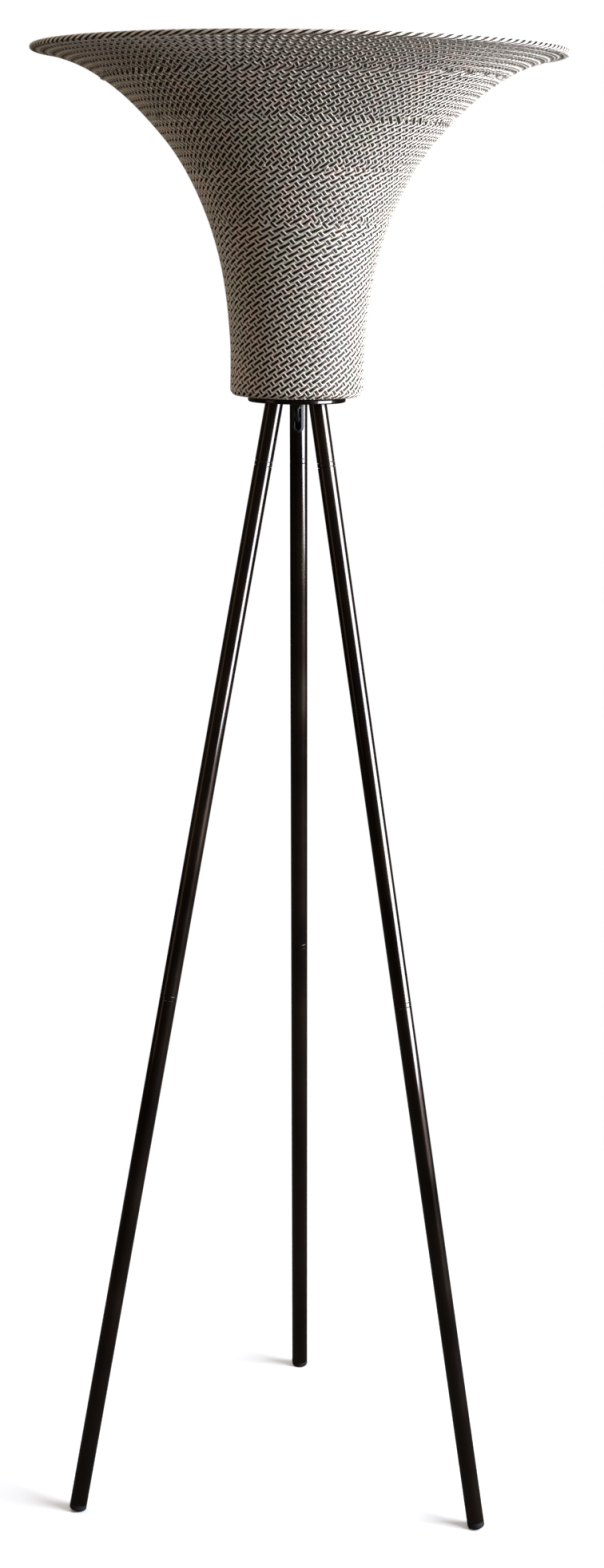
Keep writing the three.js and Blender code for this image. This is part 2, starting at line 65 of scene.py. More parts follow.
class Graph:
    """Adds shader nodes to one tree and joins their sockets."""

    def __init__(self, tree: bpy.types.NodeTree) -> None:
        """Takes the tree that the nodes go into."""
        self.tree = tree

    def add(
        self, kind: str, inputs: dict[str | int, object] | None = None, **settings: object
    ) -> bpy.types.Node:
        """Adds a node.

        Args:
            kind: Blender's name of the node type, without ShaderNode in front.
            inputs: Values of its input sockets, by name or number.
            settings: Properties of the node and their values.

        Returns:
            The new node.
        """
        node = self.tree.nodes.new(f"ShaderNode{kind}")
        for name, value in settings.items():
            setattr(node, name, value)
        for socket, value in (inputs or {}).items():
            node.inputs[socket].default_value = value
        return node

    def add_noise(
        self, levels: tuple[float, float], inputs: dict[str, float]
    ) -> tuple[bpy.types.Node, bpy.types.Node]:
        """Adds noise, and a node whose result goes from 0 to 1 as the noise rises.

        Args:
            levels: Levels of the noise where the result starts and ends.
            inputs: Values of the noise node's input sockets.

        Returns:
            The noise node and the node with the result.
        """
        noise = self.add("TexNoise", inputs)
        spread = self.add("MapRange", {"From Min": levels[0], "From Max": levels[1]})
        self.join((noise, "Fac", spread, "Value"))
        return noise, spread

    def join(self, *links: tuple[bpy.types.Node, str, bpy.types.Node, str | int]) -> None:
        """Joins outputs to inputs.

        Args:
            links: For each link a node, its output, the node it leads to and that node's input.
        """
        for source, output, target, socket in links:
            self.tree.links.new(source.outputs[output], target.inputs[socket])


def new_group(
    name: str, colours: tuple[str, ...], numbers: tuple[str, ...]
) -> tuple[Graph, bpy.types.Node, bpy.types.Node]:
    """Makes a shader node group that puts out a colour, a roughness and a height.

    Args:
        name: Name of the group.
        colours: Names of its colour inputs.
        numbers: Names of its number inputs.

    Returns:
        The group's graph, its input node and its output node.
    """
    tree = bpy.data.node_groups.new(name, "ShaderNodeTree")
    sockets = [(label, "INPUT", "Color") for label in colours]
    sockets += [(label, "INPUT", "Float") for label in numbers]
    sockets += [("Colour", "OUTPUT", "Color")]
    sockets += [(label, "OUTPUT", "Float") for label in ("Roughness", "Height")]
    for label, side, kind in sockets:
        tree.interface.new_socket(label, in_out=side, socket_type=f"NodeSocket{kind}")
    return Graph(tree), tree.nodes.new("NodeGroupInput"), tree.nodes.new("NodeGroupOutput")


@dataclass(frozen=True)
class FibrePattern:
    """Pattern of rattan: streaks along a strand, a tone for each strand and warmer patches."""

    stretch: Triple = (60, 9, 1)
    streak_scale: float = 1.0
    streak_detail: float = 4.0
    streak_levels: tuple[float, float] = (0.38, 0.68)
    streak_roughness: float = 0.22
    patch_scale: float = 38.0
    patch_levels: tuple[float, float] = (0.5, 0.68)

    def build(self) -> bpy.types.NodeTree:
        """Makes the pattern's group. Its height is the streaks' relief.

        Returns:
            The node group.
        """
        graph, given, out = new_group(
            "rattan_fibre", ("Colour", "Streak", "Tint", "Blush"), ("Roughness",))
        strand = graph.add("UVMap", uv_map=STRAND_UV)
        stretch = graph.add("Mapping", {"Scale": self.stretch})
        streaks, spread = graph.add_noise(
            self.streak_levels, {"Scale": self.streak_scale, "Detail": self.streak_detail})
        where = graph.add("TexCoord")
        patches, warmer = graph.add_noise(self.patch_levels, {"Scale": self.patch_scale})
        tone = graph.add("Attribute", attribute_name=TONE)
        streaked, tinted, blushed = (graph.add("Mix", data_type="RGBA") for _ in range(3))
        rough = graph.add("Math", {1: self.streak_roughness}, operation="MULTIPLY_ADD")
        graph.join(
            (strand, "UV", stretch, "Vector"), (stretch, "Vector", streaks, "Vector"),
            (spread, "Result", streaked, "Factor"), (given, "Colour", streaked, "A"),
            (given, "Streak", streaked, "B"), (tone, "Fac", tinted, "Factor"),
            (streaked, "Result", tinted, "A"), (given, "Tint", tinted, "B"),
            (where, "Object", patches, "Vector"), (warmer, "Result", blushed, "Factor"),
            (tinted, "Result", blushed, "A"), (given, "Blush", blushed, "B"),
            (spread, "Result", rough, 0), (given, "Roughness", rough, 2),
            (blushed, "Result", out, "Colour"), (rough, "Value", out, "Roughness"),
            (spread, "Result", out, "Height"))
        return graph.tree


@dataclass(frozen=True)
class MottlePattern:
    """Pattern of coated and moulded surfaces: broad patches of tone under fine grain."""

    patch_detail: float = 3.0
    patch_levels: tuple[float, float] = (0.35, 0.7)

    def build(self) -> bpy.types.NodeTree:
        """Makes the pattern's group. Its height is the fine grain.

        Returns:
            The node group.
        """
        graph, given, out = new_group(
            "mottle", ("Colour", "Patch"),
            ("Patch scale", "Grain scale", "Roughness", "Roughness spread"))
        place = graph.add("TexCoord")
        patches, spread = graph.add_noise(self.patch_levels, {"Detail": self.patch_detail})
        grain = graph.add("TexNoise")
        patched = graph.add("Mix", data_type="RGBA")
        rough = graph.add("Math", operation="MULTIPLY_ADD")
        graph.join(
            (place, "Object", patches, "Vector"), (place, "Object", grain, "Vector"),
            (given, "Patch scale", patches, "Scale"), (given, "Grain scale", grain, "Scale"),
            (spread, "Result", patched, "Factor"), (given, "Colour", patched, "A"),
            (given, "Patch", patched, "B"), (spread, "Result", rough, 0),
            (given, "Roughness spread", rough, 1), (given, "Roughness", rough, 2),
            (patched, "Result", out, "Colour"), (rough, "Value", out, "Roughness"),
            (grain, "Fac", out, "Height"))
        return graph.tree


FIBRE = FibrePattern().build()
MOTTLE = MottlePattern().build()


@dataclass(frozen=True)
class RattanFinish:
    """Lacquered strand with streaks along it."""

    name: str
    colour: Colour
    streak: Colour
    tint: Colour
    blush: Colour
    roughness: float
    coat: float
    specular: float = 0.5
    coat_roughness: float = 0.3
    relief: float = 0.12 * MM

    def build(self) -> bpy.types.Material:
        """Makes the material.

        Returns:
            The material.
        """
        inputs = {
            "Colour": self.colour, "Streak": self.streak, "Tint": self.tint,
            "Blush": self.blush, "Roughness": self.roughness,
        }
        fixed = {
            "Coat Weight": self.coat, "Coat Roughness": self.coat_roughness,
            "Specular IOR Level": self.specular,
        }
        return shaded(self.name, FIBRE, inputs, self.relief, fixed)


@dataclass(frozen=True)
class CoatedFinish:
    """Metal, paint or plastic with patches of tone and a fine grain."""

    name: str
    colour: Colour
    patch: Colour
    roughness: float
    spread: float = 0.08
    metallic: float = 0.0
    patch_scale: float = 20.0
    grain_scale: float = 900.0
    relief: float = 0.01 * MM
    coat: float = 0.0
    coat_roughness: float = 0.06

    def build(self) -> bpy.types.Material:
        """Makes the material.

        Returns:
            The material.
        """
        inputs = {
            "Colour": self.colour, "Patch": self.patch, "Roughness": self.roughness,
            "Roughness spread": self.spread, "Patch scale": self.patch_scale,
            "Grain scale": self.grain_scale,
        }
        fixed = {
            "Metallic": self.metallic, "Coat Weight": self.coat,
            "Coat Roughness": self.coat_roughness,
        }
        return shaded(self.name, MOTTLE, inputs, self.relief, fixed)


def shaded(
    name: str,
    group: bpy.types.NodeTree,
    inputs: dict[str, object],
    relief: float,
    fixed: dict[str, float],
) -> bpy.types.Material:
    """Makes a material whose colour, roughness and relief come from a group.

    Args:
        name: Name of the material.
        group: Node group with Colour, Roughness and Height outputs.
        inputs: Values of the group's inputs.
        relief: Height in metres that the bump stands for.
        fixed: Values set on the shader's own sockets.

    Returns:
        The material.
    """
    material = bpy.data.materials.new(name)
    material.use_nodes = True
    graph = Graph(material.node_tree)
    shader = material.node_tree.nodes["Principled BSDF"]
    for label, value in fixed.items():
        shader.inputs[label].default_value = value
    pattern = graph.add("Group", inputs, node_tree=group)
    bump = graph.add("Bump", {"Distance": relief})
    graph.join(
        (pattern, "Colour", shader, "Base Color"), (pattern, "Roughness", shader, "Roughness"),
        (pattern, "Height", bump, "Height"), (bump, "Normal", shader, "Normal"))
    return material


class Finish(Enum):
    """Every finish on the lamp."""

    PALE_STRAND = RattanFinish(
        "pale_strand", (0.84, 0.755, 0.68, 1), (0.58, 0.495, 0.4, 1), (0.73, 0.685, 0.53, 1),
        (0.84, 0.7, 0.59, 1), 0.42, coat=0.2)
    DARK_STRAND = RattanFinish(
        "dark_strand", (0.0085, 0.0048, 0.0025, 1), (0.017, 0.0095, 0.005, 1),
        (0.0095, 0.009, 0.0035, 1), (0.024, 0.008, 0.004, 1), 0.36, coat=0.05, specular=0.22)
    BRONZE = CoatedFinish(
        "bronze_lacquer", (0.014, 0.0095, 0.0075, 1), (0.04, 0.024, 0.016, 1), 0.2, spread=0.1,
        metallic=0.85, patch_scale=9.0, grain_scale=700.0, relief=0.001 * MM, coat=1.0)
    # Brighter bare metal for the collars' chamfers, partly a painted glint of the joint rings.
    BRIGHT_EDGE = CoatedFinish(
        "bright_edge", (0.045, 0.036, 0.03, 1), (0.03, 0.024, 0.02, 1), 0.25, spread=0.15,
        metallic=1.0, patch_scale=160.0)
    RUBBER = CoatedFinish(
        "foot_rubber", (0.012, 0.0115, 0.011, 1), (0.02, 0.018, 0.017, 1), 0.55, spread=0.15,
        patch_scale=60.0, grain_scale=1500.0, relief=0.04 * MM)
    # Zinc plate whose colour is darkened as painted shade, for the nut and washer in the disc's shadow.
    ZINC = CoatedFinish(
        "zinc_plate_darkened_as_shade", (0.15, 0.145, 0.135, 1), (0.11, 0.105, 0.1, 1), 0.35, spread=0.15,
        metallic=1.0, patch_scale=120.0)
    BUSH = CoatedFinish("bush_plastic", (0.006, 0.0058, 0.0055, 1), (0.004, 0.0038, 0.0035, 1), 0.38)
    WIRE = CoatedFinish(
        "wire_paint", (0.018, 0.015, 0.013, 1), (0.035, 0.028, 0.022, 1), 0.4, spread=0.12,
        metallic=0.2, patch_scale=80.0)
    BAKELITE = CoatedFinish(
        "holder_plastic", (0.008, 0.008, 0.008, 1), (0.014, 0.013, 0.012, 1), 0.34, spread=0.1,
        patch_scale=60.0, grain_scale=1200.0, relief=0.02 * MM)
    CERAMIC = CoatedFinish("core_ceramic", (0.7, 0.67, 0.6, 1), (0.62, 0.58, 0.5, 1), 0.4)
    BRASS = CoatedFinish(
        "contact_brass", (0.72, 0.5, 0.18, 1), (0.5, 0.33, 0.12, 1), 0.25, spread=0.15,
        metallic=1.0, patch_scale=90.0)
    NICKEL = CoatedFinish(
        "cap_nickel", (0.66, 0.64, 0.6, 1), (0.5, 0.48, 0.44, 1), 0.2, spread=0.12,
        metallic=1.0, patch_scale=90.0)
    HOUSING = CoatedFinish("housing_plastic", (0.82, 0.81, 0.77, 1), (0.76, 0.74, 0.69, 1), 0.45)
    OPAL = CoatedFinish(
        "opal_globe", (0.9, 0.88, 0.82, 1), (0.85, 0.83, 0.76, 1), 0.28, spread=0.04, coat=0.3)
    LEAD = CoatedFinish(
        "lead_sheath", (0.006, 0.0065, 0.009, 1), (0.011, 0.012, 0.016, 1), 0.42, spread=0.1,
        patch_scale=200.0)


MATERIALS = {finish: finish.value.build() for finish in Finish}


@dataclass
class Surface:
    """Points and faces of a mesh as whole arrays, with what its material reads."""

    points: np.ndarray
    quads: np.ndarray
    caps: list[np.ndarray] = field(default_factory=list)
    finish_index: np.ndarray | None = None
    along: np.ndarray | None = None
    tone: np.ndarray | None = None


def grid_quads(rows: int, columns: int, close_rows: bool) -> np.ndarray:
    """Corners of the quads of a grid of points whose rows are closed rings.

    Args:
        rows: Count of rings.
        columns: Count of points in a ring.
        close_rows: Whether the last ring joins the first.

    Returns:
        An array with four point indices for each quad.
    """
    down = np.arange(rows if close_rows else rows - 1)
    row, column = np.meshgrid(down, np.arange(columns), indexing="ij")
    below = (row + 1) % rows
    beside = (column + 1) % columns
    corners = (row * columns + column, below * columns + column,
               below * columns + beside, row * columns + beside)
    return np.stack(corners, axis=-1).reshape(-1, 4)


def signed_volume(points: np.ndarray, faces: list[np.ndarray]) -> float:
    """Volume inside closed faces, which is below zero where they point in.

    Each face is cut into a fan of triangles, and each triangle counts as a sixth of the triple
    product of its corners.

    Args:
        points: Points of the surface.
        faces: Arrays of faces, each array with one count of corners.

    Returns:
        The volume in cubic metres.
    """
    middle = points.mean(axis=0)
    volume = 0.0
    for face in faces:
        corners = points[face] - middle
        first = np.broadcast_to(corners[:, :1], corners[:, 1:-1].shape)
        volume += np.einsum("ijk,ijk->", first, np.cross(corners[:, 1:-1], corners[:, 2:])) / 6
    return float(volume)


def as_mesh(name: str, surface: Surface, finishes: list[Finish]) -> bpy.types.Mesh:
    """Puts a surface into a mesh whose faces point outwards.

    Args:
        name: Name of the mesh.
        surface: Its points, faces and patterns.
        finishes: Its finishes, in the order that finish_index counts.

    Returns:
        The mesh.
    """
    faces = [surface.quads, *surface.caps]
    if signed_volume(surface.points, faces) < 0:
        faces = [face[:, ::-1] for face in faces]
    mesh = bpy.data.meshes.new(name)
    mesh.vertices.add(len(surface.points))
    mesh.vertices.foreach_set("co", surface.points.astype(np.float32).ravel())
    corners = np.concatenate([face.ravel() for face in faces]).astype(np.int32)
    sizes = np.concatenate([np.full(len(face), face.shape[1]) for face in faces])
    starts = np.concatenate([[0], np.cumsum(sizes)[:-1]]).astype(np.int32)
    mesh.loops.add(len(corners))
    mesh.loops.foreach_set("vertex_index", corners)
    mesh.polygons.add(len(sizes))
    mesh.polygons.foreach_set("loop_start", starts)
    for finish in finishes:
        mesh.materials.append(MATERIALS[finish])
    if surface.finish_index is not None:
        mesh.polygons.foreach_set("material_index", surface.finish_index.astype(np.int32))
    if surface.along is not None:
        layer = mesh.uv_layers.new(name=STRAND_UV)
        layer.data.foreach_set("uv", surface.along[corners].astype(np.float32).ravel())
    if surface.tone is not None:
        attribute = mesh.attributes.new(TONE, "FLOAT", "POINT")
        attribute.data.foreach_set("value", surface.tone.astype(np.float32))
    mesh.update(calc_edges=True)
    mesh.validate()
    return mesh


def make_piece(
    name: str,
    surface: Surface,
    finishes: list[Finish],
    stands_for: tuple[str, ...],
    sharp_degrees: float = SHARP_DEGREES,
    body: str = STAND,
) -> bpy.types.Object:
    """Puts a surface into a mesh object and ties it to the frame.

    Args:
        name: Name of the piece.
        surface: Its points, faces and patterns.
        finishes: Its finishes, in the order that finish_index counts.
        stands_for: CAD nodes that it replaces.
        sharp_degrees: Angle between faces past which an edge stays sharp.
        body: CAD body that it rides on.

    Returns:
        The finished object.
    """
    mesh = as_mesh(name, surface, finishes)
    mesh.shade_smooth()
    mesh.set_sharp_from_angle(angle=math.radians(sharp_degrees))
    piece = bpy.data.objects.new(name, mesh)
    bpy.context.scene.collection.objects.link(piece)
    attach(piece, body)
    if stands_for:
        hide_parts(*stands_for)
    log.info("%s: %d faces", name, len(mesh.polygons))
    return piece


def unit(vectors: np.ndarray) -> np.ndarray:
    """Vectors divided by their lengths."""
    return vectors / np.linalg.norm(vectors, axis=-1, keepdims=True)


def length_along(line: np.ndarray) -> np.ndarray:
    """Distance along a line to each of its points: the sum of the steps before it."""
    steps = np.linalg.norm(np.diff(line, axis=-2), axis=-1)
    return np.concatenate([np.zeros((*steps.shape[:-1], 1)), np.cumsum(steps, axis=-1)], axis=-1)


def smooth_step(value: np.ndarray) -> np.ndarray:
    """Rises smoothly from 0 to 1 as the value does, and stays level outside."""
    value = np.clip(value, 0, 1)
    return value * value * (3 - 2 * value)


def about_axis(radius: np.ndarray, height: np.ndarray, angle: np.ndarray) -> np.ndarray:
    """Points at a radius, a height and an angle about +Z that starts at the front.

    Args:
        radius: Distances from the axis.
        height: Heights.
        angle: Angles in radians.

    Returns:
        The radius times the angle's sine as x, less its cosine as y, and the height as z.
    """
    parts = np.broadcast_arrays(radius * np.sin(angle), -radius * np.cos(angle), height)
    return np.stack(parts, axis=-1)


def arc(centre: tuple[float, float], radius: float, start: float, end: float, steps: int) -> np.ndarray:
    """Points of an arc: its centre plus the radius times each angle's cosine and sine.

    Args:
        centre: Middle of the arc as radius and height.
        radius: Its radius.
        start: Its first angle in degrees.
        end: Its last angle in degrees.
        steps: Count of its chords.

    Returns:
        Points as rows of radius and height.
    """
    angle = np.radians(np.linspace(start, end, steps + 1))
    return np.stack([centre[0] + radius * np.cos(angle), centre[1] + radius * np.sin(angle)], axis=-1)


def spline(points: np.ndarray, samples: int) -> np.ndarray:
    """Points along a uniform Catmull-Rom spline.

    Between two points it is the cubic that leaves and reaches them in the direction of half the
    step between their neighbours.

    Args:
        points: Points that the spline goes through.
        samples: Count of points wanted.

    Returns:
        The points wanted, the first and the last given ones among them.
    """
    final = len(points) - 1
    place = np.linspace(0, final, samples)
    index = np.clip(place.astype(int), 0, final - 1)
    part = (place - index)[:, None]
    before, start, end, after = (points[np.clip(index + step, 0, final)] for step in (-1, 0, 1, 2))
    leave = (end - before) / 2
    reach = (after - start) / 2
    return ((2 * start - 2 * end + leave + reach) * part**3
            + (3 * end - 3 * start - 2 * leave - reach) * part**2 + leave * part + start)


def capped(rings: np.ndarray) -> Surface:
    """Joins rings of points one after the other, and closes the first and the last.

    Args:
        rings: Points by ring, by place in the ring and by axis.

    Returns:
        The closed surface.
    """
    count, sides = rings.shape[:2]
    first = np.arange(sides)
    last = first + (count - 1) * sides
    return Surface(rings.reshape(-1, 3), grid_quads(count, sides, False), [first[None, :], last[None, ::-1]])


def revolved(outline: np.ndarray, segments: int) -> Surface:
    """Turns an outline about +Z.

    Each point goes round the axis at its own radius and height. An outline that starts and ends on
    the axis leaves a small open ring there, which a cap closes. Any other outline joins its ends.

    Args:
        outline: Rows of radius and height.
        segments: Count of steps round the axis.

    Returns:
        The closed surface.
    """
    angle = np.linspace(0, 2 * np.pi, segments, endpoint=False)
    if outline[0, 0] == 0 and outline[-1, 0] == 0:
        return capped(about_axis(outline[1:-1, :1], outline[1:-1, 1:], angle))
    points = about_axis(outline[:, :1], outline[:, 1:], angle).reshape(-1, 3)
    return Surface(points, grid_quads(len(outline), segments, True))


def sleeve_outline(bore: float, radius: float, low: float, high: float, chamfer: float) -> np.ndarray:
    """Closed outline of a tube wall whose outer edges are chamfered.

    Args:
        bore: Radius of its inside.
        radius: Radius of its outside.
        low: Height of its lower end.
        high: Height of its upper end.
        chamfer: How far the chamfers go in and along.

    Returns:
        Rows of radius and height.
    """
    return np.array([
        [bore, low], [radius - chamfer, low], [radius, low + chamfer], [radius, high - chamfer],
        [radius - chamfer, high], [bore, high],
    ])


def swept(path: np.ndarray, radius: float, sides: int) -> Surface:
    """Carries a circle along a path that lies in the plane of +Y and +Z.

    A point of the circle stands off the path by the cosine of its angle along +X and by the sine
    along the tangent turned a quarter.

    Args:
        path: Rows of y and z.
        radius: Radius of the circle.
        sides: Count of points in the circle.

    Returns:
        The closed round wire.
    """
    tangent = unit(np.gradient(path, axis=0))
    angle = np.linspace(0, 2 * np.pi, sides, endpoint=False)
    aside = radius * np.cos(angle)
    off = radius * np.sin(angle)
    parts = np.broadcast_arrays(
        aside, path[:, :1] - off * tangent[:, 1:], path[:, 1:] + off * tangent[:, :1])
    return capped(np.stack(parts, axis=-1))


def moved(surface: Surface, matrix: np.ndarray) -> Surface:
    """Carries a surface's points through a 4 by 4 matrix, in place, and returns it."""
    surface.points = surface.points @ matrix[:3, :3].T + matrix[:3, 3]
    return surface


def turn_about_z(degrees: float) -> np.ndarray:
    """Matrix of a turn about +Z."""
    return np.array(Matrix.Rotation(math.radians(degrees), 4, "Z"))


@dataclass
class ShadeLine:
    """Line up the middle of the woven wall, from under the disc round the corner to the rim.

    Slant is the distance along it, which is zero where the flare starts above the corner.
    """

    underside: float
    neck_radius: float = 82.5 * MM
    rim_radius: float = 322.3 * MM
    height: float = 407 * MM
    skin: float = 4 * MM
    corner: float = 10 * MM
    first_radius: float = 46 * MM
    binding: float = 3.6 * MM
    hug: float = 1.8 * MM
    tuck: float = 0.6 * MM
    tuck_start: float = 1.9
    swerve: float = 16 * MM
    rim_slope_degrees: float = 17.0
    bead_end_degrees: float = 170.0
    floor_points: int = 40
    corner_steps: int = 24
    approach_steps: int = 12
    bead_steps: int = 96
    samples: int = 1200
    flare_shares: Pairs = (
        (0, 0), (0.09, 0), (0.152, 0.004), (0.267, 0.023), (0.381, 0.057), (0.495, 0.114),
        (0.609, 0.197), (0.711, 0.301), (0.8, 0.429), (0.876, 0.563), (0.934, 0.703), (0.97, 0.83),
        (1, 1),
    )

    def __post_init__(self) -> None:
        """Works out the line and its slant once."""
        middle = self.skin / 2
        flare = self.round_the_rim(self.inset(middle, 1.0))
        corner_arc = arc(
            (self.neck_radius - self.corner, self.corner), self.corner - middle, -90, 0, self.corner_steps)
        floor = np.linspace([self.first_radius, middle], corner_arc[0], self.floor_points)
        self.line = np.concatenate([floor[:-1], corner_arc[:-1], flare])
        slant = length_along(self.line)
        self.slant = slant - slant[len(floor) + len(corner_arc) - 2]
        tangent = np.gradient(self.line, self.slant, axis=0)
        self.normal = np.stack([tangent[:, 1], -tangent[:, 0]], axis=-1)

    def round_the_rim(self, flare: np.ndarray) -> np.ndarray:
        """Carries the flare's middle line on round the outside of the rim wire.

        The line runs straight on to the wire's centre, is moved out by a smooth step of the
        distance left, and goes on as an arc whose radius shrinks at its end.

        Args:
            flare: Middle line up to the flare's end, as radius and height.

        Returns:
            The longer line.
        """
        centre = np.array([self.rim_centre, self.height])
        line = np.concatenate([flare, np.linspace(flare[-1], centre, self.approach_steps + 1)[1:]])
        left = length_along(line[::-1])[::-1]
        tangent = unit(np.gradient(line, axis=0))
        outward = np.stack([tangent[:, 1], -tangent[:, 0]], axis=-1)
        line = line + outward * (self.hug * smooth_step(1 - left / self.swerve))[:, None]
        start = self.rim_slope_degrees - 90
        turn = np.radians(np.linspace(start, self.bead_end_degrees, self.bead_steps + 1)[1:])
        radius = self.hug - self.tuck * smooth_step(turn - self.tuck_start)
        bead = centre + radius[:, None] * np.stack([np.cos(turn), np.sin(turn)], axis=-1)
        return np.concatenate([line, bead])

    @property
    def rim_centre(self) -> float:
        """Radius of the circle that the rim's wraps go round."""
        return self.rim_radius - self.binding

    def outer(self) -> np.ndarray:
        """Outer line of the flare: a spline through the shares of its height and its widening.

        Returns:
            Points as rows of radius and height.
        """
        slope = math.radians(self.rim_slope_degrees)
        back = self.binding + SEAT_GAP
        half = self.skin / 2
        end_radius = self.rim_centre - back * math.cos(slope) + half * math.sin(slope)
        end_height = self.height - back * math.sin(slope) - half * math.cos(slope)
        shares = np.array(self.flare_shares)
        points = np.stack([
            self.neck_radius + shares[:, 1] * (end_radius - self.neck_radius),
            self.corner + shares[:, 0] * (end_height - self.corner),
        ], axis=-1)
        return spline(points, self.samples)

    def inset(self, depth: float, share: float) -> np.ndarray:
        """Flare moved inwards along its normal.

        Args:
            depth: How far inwards.
            share: Share of its length to keep, from its foot.

        Returns:
            Points as rows of radius and height.
        """
        line = self.outer()
        length = length_along(line)
        tangent = unit(np.gradient(line, length, axis=0))
        inner = line + depth * np.stack([-tangent[:, 1], tangent[:, 0]], axis=-1)
        return inner[length <= share * length[-1]]

    def at(self, slant: np.ndarray) -> tuple[np.ndarray, np.ndarray, np.ndarray, np.ndarray]:
        """Place and outward normal at a slant, read off the line between its points.

        Args:
            slant: Distances along the line.

        Returns:
            Radius, height above the floor, and the normal's parts out and up.
        """
        radius, height, out, up = (
            np.interp(slant, self.slant, column) for column in (*self.line.T, *self.normal.T))
        return radius, height + self.underside, out, up


class Lay(Enum):
    """The two families of strands, by the way they climb to the right."""

    RISING = "rising"
    FALLING = "falling"


@dataclass(frozen=True)
class Band:
    """Stretch of the shade where the count of strands stays the same."""

    name: str
    strands: int
    rows: int
    start: float
    end: float
    steps: int
    pieces: int = 1
    folded: bool = False
    node: str = "woven_skin"
    slot: str = "woven_rattan"


@dataclass(frozen=True)
class Start:
    """How one family of strands starts a band.

    It holds the place of strand 0 on row 0, how far each strand starts from its even place, and
    which strands are inserted there.
    """

    phase: float
    offset: np.ndarray
    inserted: np.ndarray


@dataclass(frozen=True)
class Strip:
    """One of the three strips in a strand, with its section in shares of its half sizes."""

    offset: float
    half_width: float
    half_thickness: float
    finish: int
    section_shares: Pairs


SPLIT_CANE_SHARES = ((-1, -1), (-0.78, 1), (0.78, 1), (1, -1))
FLAT_SHARES = ((-1, 0), (-0.62, 1), (0.62, 1), (1, 0), (0.62, -1), (-0.62, -1))
STRAND_SHARP_DEGREES = 87.5


@dataclass
class Strands:
    """Strands laid side by side, each a set of strips carried along its middle line.

    A section stands on the surface normal and on the side, which is the tangent crossed with it.
    """

    centre: np.ndarray
    normal: np.ndarray
    squeeze: np.ndarray
    strips: tuple[Strip, ...]
    rng: np.random.Generator
    width_spread: float = 0.05
    pattern_shift: tuple[float, float] = (1, 40)

    def __post_init__(self) -> None:
        """Works out the sections' directions and draws each strip's own differences."""
        tangent = np.gradient(self.centre, axis=1)
        self.side = unit(np.cross(tangent, self.normal))
        self.lift = unit(np.cross(self.side, tangent))
        self.run = length_along(self.centre)
        shape = (len(self.strips), len(self.centre), 1)
        self.tone = self.rng.random(len(self.centre)) ** 2
        self.width_share = 1 + self.width_spread * self.rng.standard_normal(shape)
        self.start = self.rng.random((*shape, 2)) * self.pattern_shift

    def surface(self, kept: slice = slice(None)) -> Surface:
        """Makes every strip over a stretch of the rows.

        A point of a strip stands off the middle line by its width along the side and by its
        thickness along the lift, each times its share.

        Args:
            kept: The rows to make, or all of them.

        Returns:
            One surface that holds every strip.
        """
        centre, side, lift = self.centre[:, kept], self.side[:, kept], self.lift[:, kept]
        run, squeeze = self.run[:, kept], self.squeeze[kept]
        strands, rows = run.shape
        points, quads, caps, finishes, cap_finishes, along, tone = [], [], [], [], [], [], []
        first_point = 0
        for number, strip in enumerate(self.strips):
            shares = np.array(strip.section_shares)
            sides = len(shares)
            width = strip.half_width * self.width_share[number] * squeeze
            reach = strip.offset * squeeze + width * shares[:, 0][:, None, None]
            rim = (centre + side * reach[..., None]
                   + lift * (strip.half_thickness * shares[:, 1])[:, None, None, None])
            points.append(np.moveaxis(rim, 0, 2).reshape(-1, 3))
            step = np.arange(strands)[:, None, None] * rows * sides + first_point
            quads.append((grid_quads(rows, sides, False)[None] + step).reshape(-1, 4))
            head = (np.arange(sides) + step).reshape(-1, sides)
            caps += [head, (head + (rows - 1) * sides)[:, ::-1]]
            finishes.append(np.full(len(quads[-1]), strip.finish))
            cap_finishes.append(np.full(2 * strands, strip.finish))
            place = np.empty((strands, rows, sides, 2))
            place[..., 0] = run[..., None]
            place[..., 1] = np.arange(sides) / sides
            along.append((place + self.start[number][:, None]).reshape(-1, 2))
            tone.append(np.repeat(self.tone, rows * sides))
            first_point += strands * rows * sides
        return Surface(
            np.concatenate(points), np.concatenate(quads), caps,
            np.concatenate(finishes + cap_finishes), np.concatenate(along), np.concatenate(tone))


